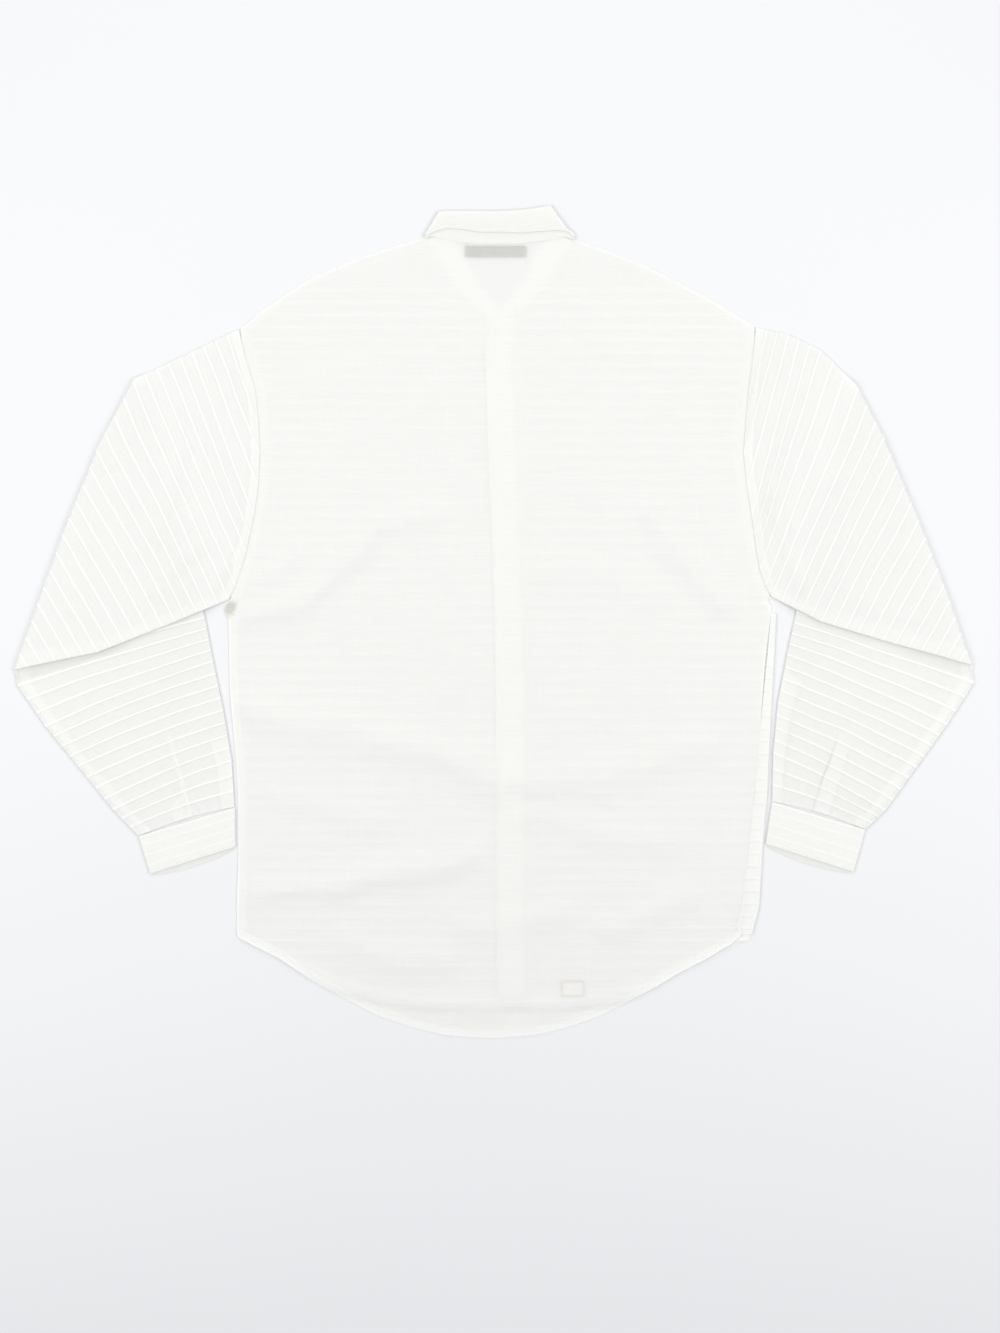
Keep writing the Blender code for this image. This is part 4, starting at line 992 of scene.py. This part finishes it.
def cuff(side, spec):
    """A flat ring of doubled cloth, open at both ends, with its tucks and two stitched edges."""
    corners = [np.array(p, float) * (spec["mirror"], 1) for p in spec["cuff"]]
    around = np.linspace(0, 1, 34)
    down = np.array(sorted({*np.linspace(0, 1, 43).round(4), 0.035, 0.06, 0.94, 0.965}))
    plans, levels, runs = [], [], []
    tucks = np.exp(-((down[:, None] - np.array(CUFF_TUCKS)) * CUFF_HEIGHT) ** 2).sum(1)
    direction = (corners[3] - corners[0]) / np.hypot(*(corners[3] - corners[0]))
    turn = np.linspace(0, math.pi, 7)[1:-1]
    for share, tuck in zip(down, tucks):
        a = corners[0] + (corners[3] - corners[0]) * share
        b = corners[1] + (corners[2] - corners[1]) * share
        width = np.hypot(*(b - a))
        top = a + (b - a) * around[:, None]
        edge_soft = 0.35 * (1 - min(share, 1 - share) / 0.05) if min(share, 1 - share) < 0.05 else 0.0
        high = CUFF_TOP - edge_soft + 0.14 * tuck + 0.35 * np.sin(np.pi * around) * share
        high = high - 0.5 * (1 - ease(np.minimum(around, 1 - around) * width / 3))
        mouth = CUFF_MOUTH * np.sqrt(np.sin(np.pi * around)) * ease((share - 0.8) / 0.2)
        under = a + (b - a) * around[::-1][:, None] + direction * mouth[::-1][:, None]
        right = b + (b - a) / width * ROUND_OUT * np.sin(turn)[:, None]
        left = a - (b - a) / width * ROUND_OUT * np.sin(turn)[:, None]
        side_z = CUFF_UNDER + (high[-1] - CUFF_UNDER) * (1 + np.cos(turn)) / 2
        plans.append(np.concatenate([top, right, under, left]))
        levels.append(np.concatenate([high, side_z, np.full(len(around), CUFF_UNDER), side_z[::-1]]))
        runs.append(np.concatenate([around * width, width + 1 + turn, width + 6 + around * width,
                                    2 * width + turn]))
    shell = Shell()
    plan, z, run = (np.array(part) for part in (plans, levels, runs))
    dense = np.clip(0.35 + 0.4 * tucks, 0, 1)[:, None] * np.ones_like(z)
    mouth_at = len(around) + len(turn) + np.arange(len(around))
    shade = np.full_like(z, CUFF_SHADE)
    shade[:, mouth_at] = 0.3 * ease((down - 0.7) / 0.3)[:, None]
    cut = (run, np.broadcast_to((down * CUFF_HEIGHT)[:, None], z.shape))
    numbers = shell.grid(plan[..., 0], plan[..., 1], z, dense, cut, quads=False, shade=shade)
    shell.join(np.hstack([numbers, numbers[:, :1]]), flip=spec["mirror"] > 0)
    rows = []
    for share in CUFF_ROWS:
        a, b = (corners[i] + (corners[j] - corners[i]) * share for i, j in ((0, 3), (1, 2)))
        rows.append(a + (b - a) * np.linspace(0.02, 0.98, 40)[:, None])
    return place(shell.mesh(f"cuff_{side}"), BANDED, thickness=FOLDED_BAND, held="folded", sewn=rows)


def button():
    """The top button: a turned rim round a dished middle, with four holes through it."""
    low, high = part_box("top_button")
    centre, radius = (low + high) / 2, (high.x - low.x) / 2
    profile = ((0.0, 0.45), (0.55, 0.42), (0.7, 0.5), (0.78, 0.85), (0.88, 1.0), (0.97, 0.8), (1.0, 0.5),
               (0.95, 0.1), (0.0, 0.0))
    bm = bmesh.new()
    turns = 40
    rings = []
    for share, level in profile:
        z = low.z + (high.z - low.z) * level
        out = radius * share
        angles = [2 * math.pi * i / turns for i in range(turns if share else 1)]
        spots = [(centre.x + out * math.cos(a), centre.y + out * math.sin(a), z) for a in angles]
        rings.append([bm.verts.new(spot) for spot in spots])
    for inner, outer in zip(rings, rings[1:]):
        for i in range(turns):
            quad = [inner[i % len(inner)], inner[(i + 1) % len(inner)], outer[(i + 1) % len(outer)],
                    outer[i % len(outer)]]
            bm.faces.new(list(dict.fromkeys(quad)))
    bmesh.ops.recalc_face_normals(bm, faces=bm.faces)
    mesh = bpy.data.meshes.new("top_button_shell")
    bm.to_mesh(mesh)
    bm.clear()
    hole_size = radius * 0.13
    for i in range(4):
        angle = math.pi * (i + 0.5) / 2
        hole = centre + radius * 0.3 * Vector((math.cos(angle), math.sin(angle), 0.0))
        bmesh.ops.create_cone(bm, cap_ends=True, segments=16, radius1=hole_size, radius2=hole_size,
                              depth=8 * MM, matrix=Matrix.Translation(hole))
    holes = bpy.data.meshes.new("button_holes")
    bm.to_mesh(holes)
    bm.free()
    made = bpy.data.objects.new("top_button_shell", mesh)
    cutter = bpy.data.objects.new("button_holes", holes)
    for piece in (made, cutter):
        bpy.context.scene.collection.objects.link(piece)
    drill = made.modifiers.new("holes", "BOOLEAN")
    drill.object = cutter
    drilled = bpy.data.meshes.new_from_object(made.evaluated_get(bpy.context.evaluated_depsgraph_get()))
    made.modifiers.clear()
    made.data = drilled
    drilled.shade_smooth()
    drilled.set_sharp_from_angle(angle=math.radians(50))
    bpy.data.objects.remove(cutter)
    made.data.materials.append(BUTTON)
    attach(made, "root")
    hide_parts("top_button")


# Stage


def floor():
    """A plain pale floor, just under the cloth."""
    mesh = bpy.data.meshes.new("floor")
    size = 6.0
    level = -0.15 * MM
    corners = [(-size, -size, level), (size, -size, level), (size, size, level), (-size, size, level)]
    mesh.from_pydata(corners, [], [(0, 1, 2, 3)])
    show("floor", mesh, FLOOR_PAINT)


def area_light(name, location, aim, size, power):
    """A soft rectangular light that faces a point."""
    data = bpy.data.lights.new(name, "AREA")
    data.shape = "RECTANGLE"
    data.size, data.size_y = size
    data.energy = power
    data.color = LIGHT_COLOUR
    made = bpy.data.objects.new(name, data)
    made.location = location
    made.rotation_euler = (Vector(aim) - Vector(location)).to_track_quat("-Z", "Y").to_euler()
    bpy.context.scene.collection.objects.link(made)


def light():
    """An even studio: pale surroundings and four soft lights."""
    world = bpy.data.worlds.new("studio")
    world.use_nodes = True
    background = world.node_tree.nodes["Background"]
    background.inputs["Color"].default_value = WORLD_COLOUR
    background.inputs["Strength"].default_value = WORLD_STRENGTH
    bpy.context.scene.world = world
    for row in LIGHTS:
        area_light(*row)
    bpy.context.scene.view_settings.view_transform = "Standard"


def camera():
    """Looks straight down on the whole photographed frame."""
    data = bpy.data.cameras.new("camera")
    data.lens = LENS
    data.sensor_width = SENSOR
    made = bpy.data.objects.new("camera", data)
    made.location = (*VIEW_CENTRE, VIEW_HEIGHT * LENS / SENSOR)
    bpy.context.scene.collection.objects.link(made)
    bpy.context.scene.camera = made


camera()
light()
floor()
front("left", 101)
front("right", 202)
band("placket", 1.0, 14, 301, STRIP)
band("button_stand", 2.3, 12, 302, STRIP, rests_on=["placket_cloth"])
back()
collar_stand()
band("collar_front_left", 1.0, 10, 304, STRIP)
band("collar_front_right", 1.0, 10, 305, STRIP)
collar_fall()
band("neck_label", 1.8, 60, 306, LABEL, RIBBON, "label", label_weave, 1.0, ["collar_stand_cloth"])
band("care_label", 2.3, 26, 307, TAG, RIBBON, "care_tag", tag_shaded_edges, 0.7, ["front_right_cloth"])
for side, spec in SLEEVES.items():
    sleeve(side, spec)
    cuff(side, spec)
button()
